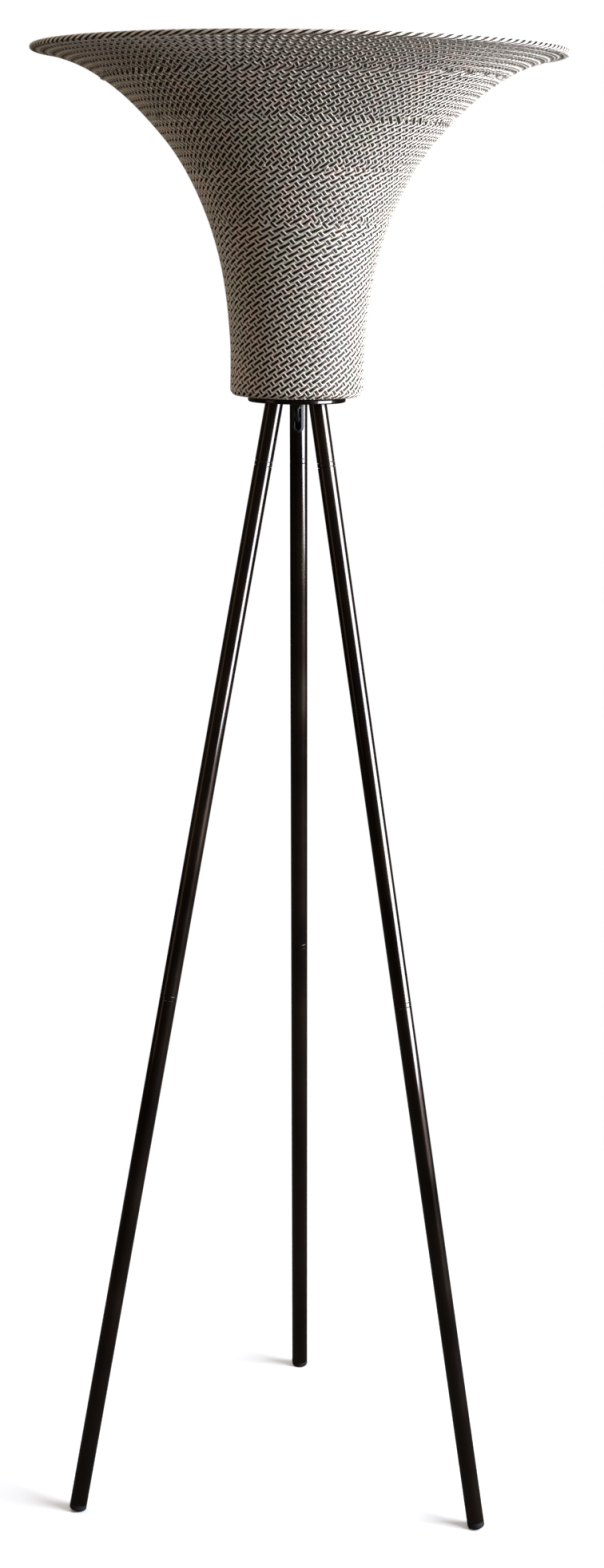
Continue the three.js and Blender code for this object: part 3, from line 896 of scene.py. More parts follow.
@dataclass
class Weave:
    """Plain weave of two families of strands, each strand a pale, a dark and a pale strip.

    A strand's place is counted in strands round the shade. Row by row, rising strands move on by
    lean and falling ones back by 1 - lean, so they cross on every whole row. There one family goes
    over and the other under, and the next row swaps them.
    """

    line: ShadeLine
    lean: float = 0.65
    rise: float = 0.72 * MM
    neck_dark: float = 3.2 * MM
    neck_pale: tuple[float, float] = (1.82 * MM, 1.36 * MM)
    rim_dark: float = 3.85 * MM
    rim_pale: tuple[float, float] = (1.12 * MM, 1.07 * MM)
    opening_start: float = 180 * MM
    opening_end: float = 400 * MM
    dark_thickness: float = 0.9 * MM
    pale_thickness: float = 1.15 * MM
    crowding: float = 1.13
    squareness: float = 0.45
    settle_rows: float = 1.3
    overlap_rows: float = 0.12
    growing_rows: float = 0.45
    tucked_rows: float = 0.7
    folding_rows: float = 0.4
    rim_press: float = 0.45
    rim_lean_gain: float = 0.45
    rim_bend_rows: float = 0.5
    under_narrowing: float = 0.6
    under_drop: float = 0.5 * MM
    press_length: float = 9 * MM
    seed: int = 7
    bands: tuple[Band, ...] = (
        Band("neck", 44, 48, -38 * MM, 200 * MM, 4, 2),
        Band("throat", 66, 13, 200 * MM, 266 * MM, 4),
        Band("bell", 93, 13, 266 * MM, 338 * MM, 3),
        Band("flare", 120, 14, 338 * MM, 416 * MM, 3),
        Band("brim", 160, 15, 416 * MM, 503 * MM, 3, 2),
        Band("rim", 160, 2, 503 * MM, 510.8 * MM, 8, 1, True, "rim_binding", "bound_rattan"),
    )

    def build(self) -> None:
        """Makes every band, and the cut ends where strands are inserted between bands."""
        rng = np.random.default_rng(self.seed)
        cut_ends = CutEnds(self.line)
        even = np.zeros(self.bands[0].strands)
        starts = {lay: Start(0.0, even, even > 0) for lay in Lay}
        on_top = 1
        for band, following in zip(self.bands, (*self.bands[1:], None)):
            self.build_band(band, starts, on_top, rng)
            on_top *= (-1) ** band.rows
            if following is None:
                break
            starts = self.handed_on(band, following, starts)
            if following.strands > band.strands:
                cut_ends.build(following, rng)

    def climb(self, lay: Lay) -> float:
        """How many places a strand moves on from one row to the next."""
        return self.lean if lay is Lay.RISING else self.lean - 1

    def widths(self, lay: Lay, slant: float) -> tuple[float, float]:
        """Widths of the dark and of a pale strip, which a smooth step opens from neck to rim.

        Args:
            lay: Family of the strand.
            slant: Distance along the shade's line.

        Returns:
            The dark strip's width and a pale strip's.
        """
        index = 0 if lay is Lay.RISING else 1
        share = (slant - self.opening_start) / (self.opening_end - self.opening_start)
        opened = float(smooth_step(share))
        dark = self.neck_dark + opened * (self.rim_dark - self.neck_dark)
        pale = self.neck_pale[index] + opened * (self.rim_pale[index] - self.neck_pale[index])
        return dark, pale

    def strips(self, lay: Lay, slant: float) -> tuple[Strip, ...]:
        """The strips of one strand side by side, each as far off as half of it and of the dark one.

        Args:
            lay: Family of the strand.
            slant: Distance along the shade's line.

        Returns:
            A pale strip, the dark one and the other pale one.
        """
        dark, pale = self.widths(lay, slant)
        apart = (dark + pale) / 2
        edge = (pale / 2, self.pale_thickness / 2, 0, SPLIT_CANE_SHARES)
        return (
            Strip(-apart, *edge),
            Strip(0.0, dark / 2, self.dark_thickness / 2, 1, FLAT_SHARES),
            Strip(apart, *edge),
        )

    def fitted(self, lay: Lay, slant: float, pitch: np.ndarray) -> np.ndarray:
        """Share of a strand's full width that fits into a pitch."""
        dark, pale = self.widths(lay, slant)
        return np.minimum(1, self.crowding * pitch / (dark + 2 * pale))

    def handed_on(
        self, band: Band, following: Band, starts: dict[Lay, Start]
    ) -> dict[Lay, Start]:
        """Works out how the next band's strands take over from this one's.

        Each strand that goes on is met by the next band's nearest strand, which starts where the
        first one ends. The other strands of the next band are inserted between them.

        Args:
            band: Band that ends.
            following: Band that starts.
            starts: How each family started the band that ends.

        Returns:
            How each family starts the next band.
        """
        growth = following.strands / band.strands
        last = band.rows - 0.5
        rising, wanted = (
            (starts[lay].phase + self.climb(lay) * last) * growth + self.climb(lay) / 2 for lay in Lay)
        falling = rising + round(wanted - rising)
        begun = {}
        for lay, phase, slip in ((Lay.RISING, rising, 0.0), (Lay.FALLING, falling, wanted - falling)):
            place = np.arange(band.strands) * growth + slip
            taken = np.round(place).astype(int)
            fresh = np.ones(following.strands, dtype=bool)
            fresh[taken % following.strands] = False
            known = np.concatenate([taken - following.strands, taken, taken + following.strands])
            shift = np.tile(place - taken, 3)
            begun[lay] = Start(phase, np.interp(np.arange(following.strands), known, shift), fresh)
        return begun

    def rim_run(self, band: Band, lay: Lay, done: np.ndarray) -> tuple[np.ndarray, np.ndarray]:
        """Works out how rising strands lean over as they fold round the rim.

        The lean grows evenly over the first rows and then stays, and the way gained is its sum.

        Args:
            band: The band.
            lay: Family of the strand.
            done: Rows since the band's foot.

        Returns:
            How much more a strand leans there, and how many places that has moved it on.
        """
        if not band.folded or lay is Lay.FALLING:
            return np.zeros_like(done), np.zeros_like(done)
        bend = self.rim_bend_rows
        done = np.maximum(done, 0)
        more = np.minimum(done / bend, 1)
        gained = more * more * bend / 2 + np.maximum(done - bend, 0)
        return self.rim_lean_gain * more, self.rim_lean_gain * gained

    def places(self, lay: Lay, rows: np.ndarray, start: Start) -> np.ndarray:
        """Place of each strand on each row, counted in strands round the shade.

        It is the strand's number plus what the family climbs, and its start's offset dies away.

        Args:
            lay: Family of the strands.
            rows: The rows.
            start: How the family starts the band.

        Returns:
            Places by strand and row.
        """
        settle = np.exp(-(rows + 0.5) / self.settle_rows)
        index = np.arange(len(start.offset))
        return (index[:, None] + start.phase + self.climb(lay) * rows[None, :]
                + start.offset[:, None] * settle[None, :])

    @staticmethod
    def crossing_count(own: np.ndarray, others: np.ndarray) -> np.ndarray:
        """How far each strand has come among the others, which is whole where it crosses one.

        Args:
            own: Places of these strands, by strand and row.
            others: Places of the other family, by strand and row.

        Returns:
            The other family's strand number at each point, with parts of a strand between them.
        """
        count = len(others)
        number = np.arange(-1, count + 1)
        result = np.empty_like(own)
        for row in range(own.shape[1]):
            known = others[:, row]
            known = np.concatenate([[known[-1] - count], known, [known[0] + count]])
            laps = np.floor((own[:, row] - others[0, row]) / count)
            result[:, row] = np.interp(own[:, row] - laps * count, known, number) + laps * count
        return result

    def swing(self, own: np.ndarray, others: np.ndarray) -> np.ndarray:
        """Share of the rise at each point, from 1 where a strand goes over to -1 where it goes under.

        It is the cosine of half a turn for each strand crossed, drawn a little square.

        Args:
            own: Places of these strands, by strand and row.
            others: Places of the other family, by strand and row.

        Returns:
            Shares by strand and row, for strands that go over on row 0.
        """
        count = self.crossing_count(own, others)
        wave = np.cos(np.pi * (count - np.arange(len(own))[:, None]))
        return np.sign(wave) * np.abs(wave) ** self.squareness

    def build_band(
        self, band: Band, starts: dict[Lay, Start], on_top: int, rng: np.random.Generator
    ) -> None:
        """Makes both families of one band.

        Each strand's middle line is its place turned into an angle, at the radius and height of
        its row, lifted off the shade's line by the rise times its swing. The other family swings
        the other way. Where the strands fold over the rim, the rising ones stay on top.

        Args:
            band: The band.
            starts: How each family starts it.
            on_top: 1 if rising strands go over on row 0, else -1.
            rng: Source of the small differences between strands.
        """
        rows = np.linspace(-0.5, band.rows - 0.5, band.rows * band.steps + 1)
        rows[0] -= self.overlap_rows
        rows[-1] += self.overlap_rows
        done = rows + 0.5
        level = np.zeros_like(rows)
        has_foot = starts[Lay.RISING].inserted.any()
        grown = smooth_step(done / self.growing_rows) if has_foot else level + 1
        tucked = 1 - smooth_step(done / self.tucked_rows) if has_foot else level
        folding = smooth_step(done / self.folding_rows) if band.folded else level
        row_height = (band.end - band.start) / band.rows
        middle = (band.start + band.end) / 2
        slant = band.start + done * row_height
        radius, height, out, up = self.line.at(slant)
        spacing = 2 * np.pi * radius / band.strands
        pressed = smooth_step((slant - self.bands[-1].start) / self.press_length + 1)
        bends = {lay: self.rim_run(band, lay, done) for lay in Lay}
        place = {lay: self.places(lay, rows, starts[lay]) + bends[lay][1] for lay in Lay}
        for lay, other, sign in ((Lay.RISING, Lay.FALLING, 1), (Lay.FALLING, Lay.RISING, -1)):
            if band.folded:
                swing = sign * np.broadcast_to(folding, place[lay].shape)
            else:
                swing = sign * on_top * self.swing(place[lay], place[other])
            under = folding if lay is Lay.FALLING else level
            lift = self.rise * swing * grown * (1 - self.rim_press * pressed)
            lift -= np.where(starts[lay].inserted[:, None], self.rise * tucked, 0)
            lift -= self.under_drop * under
            angle = 2 * np.pi * place[lay] / band.strands
            normal = about_axis(out, up, angle)
            centre = about_axis(radius, height, angle) + normal * lift[..., None]
            share = bends[lay][0] + abs(self.climb(lay))
            pitch = spacing * row_height / np.hypot(share * spacing, row_height)
            squeeze = self.fitted(lay, middle, pitch) * (1 - self.under_narrowing * under)
            strands = Strands(centre, normal, squeeze, self.strips(lay, middle), rng)
            cuts = np.linspace(0, band.rows, band.pieces + 1).astype(int) * band.steps
            for part, (first, last) in enumerate(zip(cuts[:-1], cuts[1:])):
                suffix = f"_{part + 1}" if band.pieces > 1 else ""
                make_piece(
                    f"weave_{band.name}{suffix}_{lay.value}", strands.surface(slice(first, last + 1)),
                    [Finish.PALE_STRAND, Finish.DARK_STRAND], (band.node,),
                    STRAND_SHARP_DEGREES)


@dataclass
class CutEnds:
    """Small pale ends that show where strands are inserted at a band's foot."""

    line: ShadeLine
    strands_per_end: int = 5
    scatter: float = 2.5 * MM
    climb: float = 3.2 * MM
    drift: float = 2.2 * MM
    foot_lift: float = 1 * MM
    crown: float = 1.3 * MM
    half_width: float = 0.75 * MM
    half_thickness: float = 0.45 * MM
    rows: int = 5

    def build(self, band: Band, rng: np.random.Generator) -> None:
        """Makes one band's ends, each a short arch that climbs and drifts to the right.

        Args:
            band: Band whose foot they show at.
            rng: Source of their places.
        """
        count = band.strands // self.strands_per_end
        angle = rng.random(count) * 2 * np.pi
        slant = band.start + rng.normal(0, self.scatter, count)
        travel = np.linspace(0, 1, self.rows)
        radius, height, out, up = self.line.at(slant[:, None] + travel * self.climb)
        turn = angle[:, None] + travel * self.drift / radius
        normal = about_axis(out, up, turn)
        lift = self.foot_lift + self.crown * np.sin(np.pi * travel)
        centre = about_axis(radius, height, turn) + normal * lift[:, None]
        strip = Strip(0.0, self.half_width, self.half_thickness, 0, SPLIT_CANE_SHARES)
        surface = Strands(centre, normal, np.ones(self.rows), (strip,), rng).surface()
        make_piece(
            f"cut_ends_{band.name}", surface, [Finish.PALE_STRAND], (),
            STRAND_SHARP_DEGREES)


@dataclass
class ShadeFrame:
    """Painted wire frame inside the weave."""

    line: ShadeLine
    rib_count: int = 6
    rib_radius: float = 2 * MM
    rib_share: float = 17 / 18
    samples_per_point: int = 24
    sides: int = 12
    segments: int = 144
    sharp_degrees: float = 60.0
    ring_names: tuple[str, ...] = ("frame_ring_base", "frame_ring_1", "frame_ring_2", "frame_ring_3")

    def build(self) -> None:
        """Makes the ribs, each the flare's inside line swept and turned, and the round rings."""
        depth = self.line.skin + SEAT_GAP + self.rib_radius
        path = self.line.inset(depth, self.rib_share)[::self.samples_per_point]
        path = path * (-1, 1) + (0, self.line.underside)
        for rib in range(self.rib_count):
            turn = turn_about_z((rib + 0.5) * 360 / self.rib_count)
            surface = moved(swept(path, self.rib_radius, self.sides), turn)
            self.build_wire(f"frame_rib_{rib + 1}", surface)
        for node in self.ring_names:
            low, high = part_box(node)
            wire = (high.z - low.z) / 2
            circle = arc((high.x - wire, (low.z + high.z) / 2), wire, 0, 360, self.sides)[:-1]
            self.build_wire(node, revolved(circle, self.segments))

    def build_wire(self, node: str, surface: Surface) -> None:
        """Makes the piece that stands for one of the frame's nodes."""
        name = node.replace("frame_", "wire_")
        make_piece(name, surface, [Finish.WIRE], (node,), self.sharp_degrees)


class Leg(Enum):
    """The three legs, by the angle that each is turned from the front."""

    LEFT = -60.0
    RIGHT = 60.0
    BACK = 180.0


@dataclass
class Tripod:
    """Legs of screwed tube under a disc, with the lead's slot in the back leg.

    A leg's own frame has its origin on the disc's underside, and -Z runs down the leg. The bush's
    section and the lead's route are in millimetres.
    """

    disc_underside: float
    tube_radius: float = 11 * MM
    tube_wall: float = 1.5 * MM
    splay_degrees: float = 10.68
    top_radius: float = 30.5 * MM
    stub: float = 73 * MM
    upper_tube: float = 674 * MM
    lower_tube: float = 681 * MM
    collar: float = 6 * MM
    # Size of the collars' chamfers, which carry the brighter metal that partly paints a glint.
    glint_chamfer: float = 0.5 * MM
    end_chamfer: float = 0.35 * MM
    joint_reach: float = 28 * MM
    joint_bore: float = 4.5 * MM
    joint_sharp_degrees: float = 20.0
    foot_cap: float = 8 * MM
    foot_round: float = 3 * MM
    foot_plug: float = 22 * MM
    foot_steps: int = 8
    slot_length: float = 37 * MM
    slot_half: float = 5 * MM
    slot_steps: int = 20
    overrun: float = 20 * MM
    segments: int = 72
    disc_radius: float = 60 * MM
    disc_edge: float = 2 * MM
    disc_hole: float = 5.3 * MM
    disc_edge_steps: int = 6
    disc_segments: int = 128
    bush_side_steps: int = 29
    bush_bend_steps: int = 32
    bush_section: Pairs = (
        (-1.4, -2.2), (-0.3, -2.2), (-0.3, 0.3), (1.6, 0.3), (1.6, 1.2), (1.3, 1.5), (-1.1, 1.5),
        (-1.4, 1.2),
    )
    lead_radius: float = 2.8 * MM
    lead_samples: int = 90
    lead_sides: int = 20
    lead_sharp_degrees: float = 60.0
    lead_route: Pairs = (
        (0, 31.6), (0, 12.1), (0, -6.9), (2.5, -14.9), (10, -20.4), (20, -22.9), (29, -26.4),
        (35.2, -33.4), (38.2, -42.9), (39.4, -47.9),
    )

    @property
    def splay(self) -> float:
        """Angle of a leg to the upright, in radians."""
        return math.radians(self.splay_degrees)

    @property
    def bore(self) -> float:
        """Radius of a tube's inside."""
        return self.tube_radius - self.tube_wall

    @property
    def spigot(self) -> float:
        """Radius of what sits inside a tube."""
        return self.bore - SEAT_GAP

    @property
    def slot_centre(self) -> float:
        """Height in the leg's frame of the middle of the slot's round end."""
        return self.slot_half - self.slot_length

    def leg_matrix(self, leg: Leg) -> np.ndarray:
        """Matrix from a leg's own frame to the lamp's: its lean, its place, and its turn.

        Args:
            leg: The leg.

        Returns:
            The 4 by 4 matrix.
        """
        place = Matrix.Translation((0, -self.top_radius, self.disc_underside))
        lean = Matrix.Rotation(-self.splay, 4, "X")
        return turn_about_z(leg.value) @ np.array(place @ lean)

    def levelled(self, surface: Surface, height: float, below: bool) -> Surface:
        """Slides points along the leg's own axis, up to or down to a level in the lamp.

        Args:
            surface: Surface in the leg's frame.
            height: The level, measured from the disc's underside.
            below: Whether the points have to stay below the level.

        Returns:
            The same surface.
        """
        y = surface.points[:, 1]
        level = (height + y * math.sin(self.splay)) / math.cos(self.splay)
        limit = np.minimum if below else np.maximum
        surface.points[:, 2] = limit(surface.points[:, 2], level)
        return surface

    def build(self) -> None:
        """Makes the legs, the disc, the slot's bush and the lead."""
        for leg in Leg:
            self.build_leg(leg)
        self.build_disc()
        self.build_bush()
        self.build_lead()

    def build_leg(self, leg: Leg) -> None:
        """Makes the six pieces of one leg, each from where the one above it ends.

        Args:
            leg: The leg.
        """
        side = leg.name.lower()
        matrix = self.leg_matrix(leg)
        upper_top = -self.stub - self.collar
        upper_end = upper_top - self.upper_tube
        lower_top = upper_end - self.collar
        lower_end = lower_top - self.lower_tube
        self.build_stub(side, matrix, leg is Leg.BACK)
        self.build_tube(f"upper_{side}", f"upper_tube_{side}", matrix, upper_end, upper_top)
        self.build_tube(f"lower_{side}", f"lower_tube_{side}", matrix, lower_end, lower_top)
        self.build_joint(f"joint_upper_{side}", matrix, -self.stub)
        self.build_joint(f"joint_lower_{side}", matrix, upper_end)
        self.build_foot(side, matrix, lower_end - self.foot_cap)

    def build_tube(self, name: str, node: str, matrix: np.ndarray, low: float, high: float) -> None:
        """Makes one open length of tube, its wall's outline turned about the leg.

        Args:
            name: Name of the piece, without leg in front.
            node: Name of the node it stands for, without leg in front.
            matrix: Matrix from the leg's frame to the lamp's.
            low: Height of its lower end in the leg's frame.
            high: Height of its upper end.
        """
        outline = sleeve_outline(self.bore, self.tube_radius, low, high, self.end_chamfer)
        surface = moved(revolved(outline, self.segments), matrix)
        make_piece(f"leg_{name}", surface, [Finish.BRONZE], (f"leg_{node}",))

    def build_stub(self, side: str, matrix: np.ndarray, slotted: bool) -> None:
        """Makes the short top tube, cut level under the disc.

        Args:
            side: The leg's name, as its pieces have it.
            matrix: Matrix from the leg's frame to the lamp's.
            slotted: Whether it has the lead's slot.
        """
        outline = sleeve_outline(
            self.bore, self.tube_radius, -self.stub, self.overrun, self.end_chamfer)
        surface = self.levelled(revolved(outline, self.segments), -SEAT_GAP, True)
        piece = make_piece(
            f"leg_top_{side}", surface, [Finish.BRONZE], (f"leg_stub_{side}",))
        if slotted:
            self.cut_slot(piece)
        piece.data.transform(Matrix(matrix.tolist()))

    def cut_slot(self, piece: bpy.types.Object) -> None:
        """Takes the slot's outline, drawn out from the leg's axis to beyond the tube, off a stub.

        Args:
            piece: The stub, still in the leg's own frame.
        """
        ends = [[self.slot_half, self.overrun], [-self.slot_half, self.overrun]]
        bottom = arc((0, self.slot_centre), self.slot_half, 180, 360, self.slot_steps)
        outline = np.concatenate([ends, bottom])
        depth = np.array([[0.0], [self.tube_radius + self.overrun]])
        rings = np.stack(np.broadcast_arrays(outline[:, 0], depth, outline[:, 1]), axis=-1)
        mesh = as_mesh("slot_cutter", capped(rings), [])
        mesh.shade_flat()
        cutter = bpy.data.objects.new("slot_cutter", mesh)
        bpy.context.scene.collection.objects.link(cutter)
        cut = piece.modifiers.new("slot", "BOOLEAN")
        cut.operation = "DIFFERENCE"
        cut.solver = "EXACT"
        cut.object = cutter
        bpy.context.view_layer.update()
        shaped = piece.evaluated_get(bpy.context.evaluated_depsgraph_get())
        result = bpy.data.meshes.new_from_object(shaped)
        piece.modifiers.remove(cut)
        piece.data = result
        result.set_sharp_from_angle(angle=math.radians(SHARP_DEGREES))
        bpy.data.objects.remove(cutter)

    def build_joint(self, name: str, matrix: np.ndarray, top: float) -> None:
        """Makes a threaded connector whose collar has a bare metal chamfer at each end, partly a painted
        glint.

        Args:
            name: Name of the piece, which its node has after leg.
            matrix: Matrix from the leg's frame to the lamp's.
            top: Height of the collar's upper end in the leg's frame.
        """
        low = top - self.collar + SEAT_GAP
        high = top - SEAT_GAP
        edge = self.tube_radius - self.glint_chamfer / 2
        outline = np.array([
            [self.joint_bore, low - self.joint_reach], [self.spigot, low - self.joint_reach],
            [self.spigot, low], [edge, low], [self.tube_radius, low + self.glint_chamfer],
            [self.tube_radius, high - self.glint_chamfer], [edge, high], [self.spigot, high],
            [self.spigot, high + self.joint_reach], [self.joint_bore, high + self.joint_reach],
        ])
        surface = moved(revolved(outline, self.segments), matrix)
        row = np.arange(len(surface.quads)) // self.segments
        # These rows are the chamfers: they take the brighter metal, partly a painted glint.
        chamfer_rows = (3, 5)
        surface.finish_index = np.isin(row, chamfer_rows).astype(int)
        make_piece(
            name, surface, [Finish.BRONZE, Finish.BRIGHT_EDGE], (f"leg_{name}",),
            self.joint_sharp_degrees)

    def build_foot(self, side: str, matrix: np.ndarray, end: float) -> None:
        """Makes a foot plug whose round lower edge is flat where it stands.

        Args:
            side: The leg's name, as its pieces have it.
            matrix: Matrix from the leg's frame to the lamp's.
            end: Height of its lower end in the leg's frame.
        """
        top = self.foot_cap - SEAT_GAP
        plug_top = top + self.foot_plug
        centre = (self.tube_radius - self.foot_round, self.foot_round)
        edge = arc(centre, self.foot_round, -90, 0, self.foot_steps)
        inner = np.linspace([0.0, 0.0], edge[0], self.foot_steps)[:-1]
        plug = [[self.tube_radius, top], [self.spigot, top], [self.spigot, plug_top], [0, plug_top]]
        outline = np.concatenate([inner, edge, plug])
        outline[:, 1] += end
        surface = self.levelled(revolved(outline, self.segments), -self.disc_underside, False)
        make_piece(
            f"foot_{side}", moved(surface, matrix), [Finish.RUBBER], (f"foot_cap_{side}",))

    def build_disc(self) -> None:
        """Makes the round-edged disc that carries the shade."""
        low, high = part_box("tripod_disc")
        middle = self.disc_radius - self.disc_edge
        lower_edge, upper_edge = (
            arc((middle, height), self.disc_edge, start, start + 90, self.disc_edge_steps)
            for height, start in ((low.z + self.disc_edge, -90), (high.z - self.disc_edge, 0)))
        outline = np.concatenate([
            [[self.disc_hole, low.z]], lower_edge, upper_edge, [[self.disc_hole, high.z]]])
        surface = revolved(outline, self.disc_segments)
        make_piece("disc", surface, [Finish.BRONZE], ("tripod_disc",))

    def build_bush(self) -> None:
        """Makes the bush: an L-shaped section carried down one side of the slot and up the other.

        The section stands off the slot's outline, and its place across the tube is wrapped round
        it, so the depth is the radius times the root of one less the square of that share.
        """
        section = np.array(self.bush_section) * MM
        straight = np.linspace(self.overrun, self.slot_centre, self.bush_side_steps + 1)[:-1]
        bend = np.linspace(0, -np.pi, self.bush_bend_steps + 1)
        turn = np.concatenate([np.zeros_like(straight), bend, np.full_like(straight, -np.pi)])
        level = np.concatenate([straight, np.full_like(bend, self.slot_centre), straight[::-1]])
        reach = self.slot_half + section[:, 0]
        across = np.cos(turn)[:, None] * reach / self.tube_radius
        radius = self.tube_radius + section[:, 1]
        rings = np.stack([
            radius * across, radius * np.sqrt(1 - across**2),
            level[:, None] + np.sin(turn)[:, None] * reach,
        ], axis=-1)
        surface = moved(self.levelled(capped(rings), -SEAT_GAP, True), self.leg_matrix(Leg.BACK))
        make_piece("slot_bush", surface, [Finish.BUSH], ("lead_slot_bush",))

    def build_lead(self) -> None:
        """Makes the lead along its route, with a spline between the route's points."""
        path = spline(np.array(self.lead_route) * MM, self.lead_samples) + (0, self.disc_underside)
        surface = swept(path, self.lead_radius, self.lead_sides)
        make_piece(
            "lead", surface, [Finish.LEAD], ("internal_lead",), self.lead_sharp_degrees)


@dataclass
class Lampholder:
    """Moulded lampholder in the bottom of the shade."""

    wall: float = 2 * MM
    taper: float = 7 * MM
    foot_round: float = 1 * MM
    foot_steps: int = 3
    hole: float = 5.3 * MM
    mouth: float = 15 * MM
    shoulder_in: float = 0.6 * MM
    shoulder_down: float = 0.5 * MM
    ridge_count: int = 48
    ridge_depth: float = 0.25 * MM
    ridge_sharp_degrees: float = 50.0
    shell_wall: float = 0.6 * MM
    shell_chamfer: float = 0.1 * MM
    segments: int = 96
    ridge_segments: int = 192

    def build(self) -> None:
        """Makes the cap, the ribbed body and the threaded shell."""
        self.build_cap()
        self.build_body()
        low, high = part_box("holder_thread_shell")
        outline = sleeve_outline(high.x - self.shell_wall, high.x, low.z, high.z, self.shell_chamfer)
        surface = revolved(outline, self.segments)
        make_piece("thread_shell", surface, [Finish.BRASS], ("holder_thread_shell",))

    def build_cap(self) -> None:
        """Makes the lower half: a cup that widens upwards from a rounded foot."""
        low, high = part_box("holder_cap")
        radius = high.x
        foot = radius - self.taper
        flat = foot - self.foot_round
        inner = low.z + self.wall
        outline = np.concatenate([
            [[self.hole, low.z], [flat, low.z]],
            arc((flat, low.z + self.foot_round), self.foot_round, -90, -45, self.foot_steps),
            [[radius, low.z + self.taper], [radius, high.z], [radius - self.wall, high.z],
             [radius - self.wall, low.z + self.taper + self.wall / 2], [foot - self.wall / 2, inner],
             [self.hole, inner]],
        ])
        surface = revolved(outline, self.segments)
        make_piece("holder_lower", surface, [Finish.BAKELITE], ("holder_cap",))

    def build_body(self) -> None:
        """Makes the upper half, whose outside goes in and out as the cosine of the angle."""
        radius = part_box("holder_cap")[1].x
        low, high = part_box("holder_body")
        inside = high.x - self.wall
        under = high.z - self.wall
        outline = np.array([
            [inside, low.z], [radius, low.z], [radius, under],
            [radius - self.shoulder_in, high.z - self.shoulder_down], [inside, high.z],
            [self.mouth, high.z], [self.mouth, under], [inside, under - self.wall],
        ])
        surface = revolved(outline, self.ridge_segments)
        points = surface.points
        angle = np.arctan2(points[:, 0], -points[:, 1])
        distance = np.hypot(points[:, 0], points[:, 1])
        groove = self.ridge_depth * (1 - np.cos(self.ridge_count * angle)) / 2
        groove[distance <= inside + self.wall / 2] = 0
        points[:, :2] *= (1 - groove / distance)[:, None]
        make_piece(
            "holder_upper", surface, [Finish.BAKELITE], ("holder_body",),
            self.ridge_sharp_degrees)


@dataclass
class Bulb:
    """Screw-in bulb."""

    pitch: float = 3.63 * MM
    thread_depth: float = 0.5 * MM
    thread_rows: int = 97
    thread_sharp_degrees: float = 80.0
    cap_wall: float = 0.7 * MM
    housing_wall: float = 1.6 * MM
    housing_rows: int = 12
    housing_fullness: float = 0.9
    globe_radius: float = 30 * MM
    globe_mouth: float = 24 * MM
    globe_wall: float = 1.2 * MM
    globe_steps: int = 40
    segments: int = 96

    def build(self) -> None:
        """Makes the threaded cap, the housing and the globe."""
        self.build_cap()
        self.build_housing()
        self.build_globe()

    def build_cap(self) -> None:
        """Makes the cap, whose radius swings with height less pitch times turns, as a thread does."""
        low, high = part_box("bulb_screw_cap")
        level = np.linspace(low.z, high.z, self.thread_rows)
        root = np.full(self.thread_rows, high.x - self.thread_depth)
        outline = np.concatenate([
            np.stack([root, level], axis=-1), np.stack([root - self.cap_wall, level[::-1]], axis=-1)])
        surface = revolved(outline, self.segments)
        points = surface.points
        turn = np.arctan2(points[:, 0], -points[:, 1]) / (2 * math.pi)
        wave = 0.5 + 0.5 * np.cos(2 * math.pi * ((points[:, 2] - low.z) / self.pitch - turn))
        fade = smooth_step((high.z - points[:, 2]) / self.pitch)
        distance = np.hypot(points[:, 0], points[:, 1])
        points[:, :2] *= (1 + self.thread_depth * wave * fade / distance)[:, None]
        make_piece(
            "bulb_thread", surface, [Finish.NICKEL], ("bulb_screw_cap",),
            self.thread_sharp_degrees, BULB)

    def build_housing(self) -> None:
        """Makes the housing, which swells with a power of the sine of a quarter turn."""
        low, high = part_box("bulb_housing")
        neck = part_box("bulb_screw_cap")[1].x
        flank = np.linspace(0, 1, self.housing_rows)
        swell = neck + (high.x - neck) * np.sin(flank * math.pi / 2) ** self.housing_fullness
        outer = np.stack([swell, low.z + flank * (high.z - low.z)], axis=-1)
        inner = outer[::-1] - (self.housing_wall, 0)
        surface = revolved(np.concatenate([outer, inner]), self.segments)
        make_piece(
            "bulb_collar", surface, [Finish.HOUSING], ("bulb_housing",), body=BULB)

    def build_globe(self) -> None:
        """Makes the globe: two arcs with one centre, from the top down to the housing."""
        centre = (0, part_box("bulb_globe")[1].z - self.globe_radius)
        start = -math.degrees(math.acos(self.globe_mouth / self.globe_radius))
        outline = np.concatenate([
            arc(centre, self.globe_radius - self.globe_wall, 90, start, self.globe_steps),
            arc(centre, self.globe_radius, start, 90, self.globe_steps),
        ])
        outline[[0, -1], 0] = 0
        surface = revolved(outline, self.segments)
        make_piece("bulb_opal", surface, [Finish.OPAL], ("bulb_globe",), body=BULB)


# The zinc parts take the zinc whose colour is darkened as painted shade.
KEPT_NODES = {
    "threaded_nipple": Finish.ZINC, "lower_washer": Finish.ZINC, "lower_nut": Finish.ZINC,
    "upper_washer": Finish.ZINC, "upper_nut": Finish.ZINC, "rim_wire": Finish.WIRE,
    "carrier_plate": Finish.WIRE, "holder_core": Finish.CERAMIC, "holder_contact": Finish.BRASS,
    "bulb_contact": Finish.BRASS, "bulb_insulator": Finish.BAKELITE,
}


def dress_kept_nodes() -> None:
    """Gives each CAD node that stays its finish."""
    for node, finish in KEPT_NODES.items():
        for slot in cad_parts[node].material_slots:
            slot.material = MATERIALS[finish]


class LightColour(Enum):
    """Colours of the studio's light."""

    DAYLIGHT = (0.83, 0.885, 1.0)
    WARM = (1.0, 0.87, 0.76)
    BROWN = (1.0, 0.7, 0.45)
    PLAIN = (1.0, 1.0, 1.0)


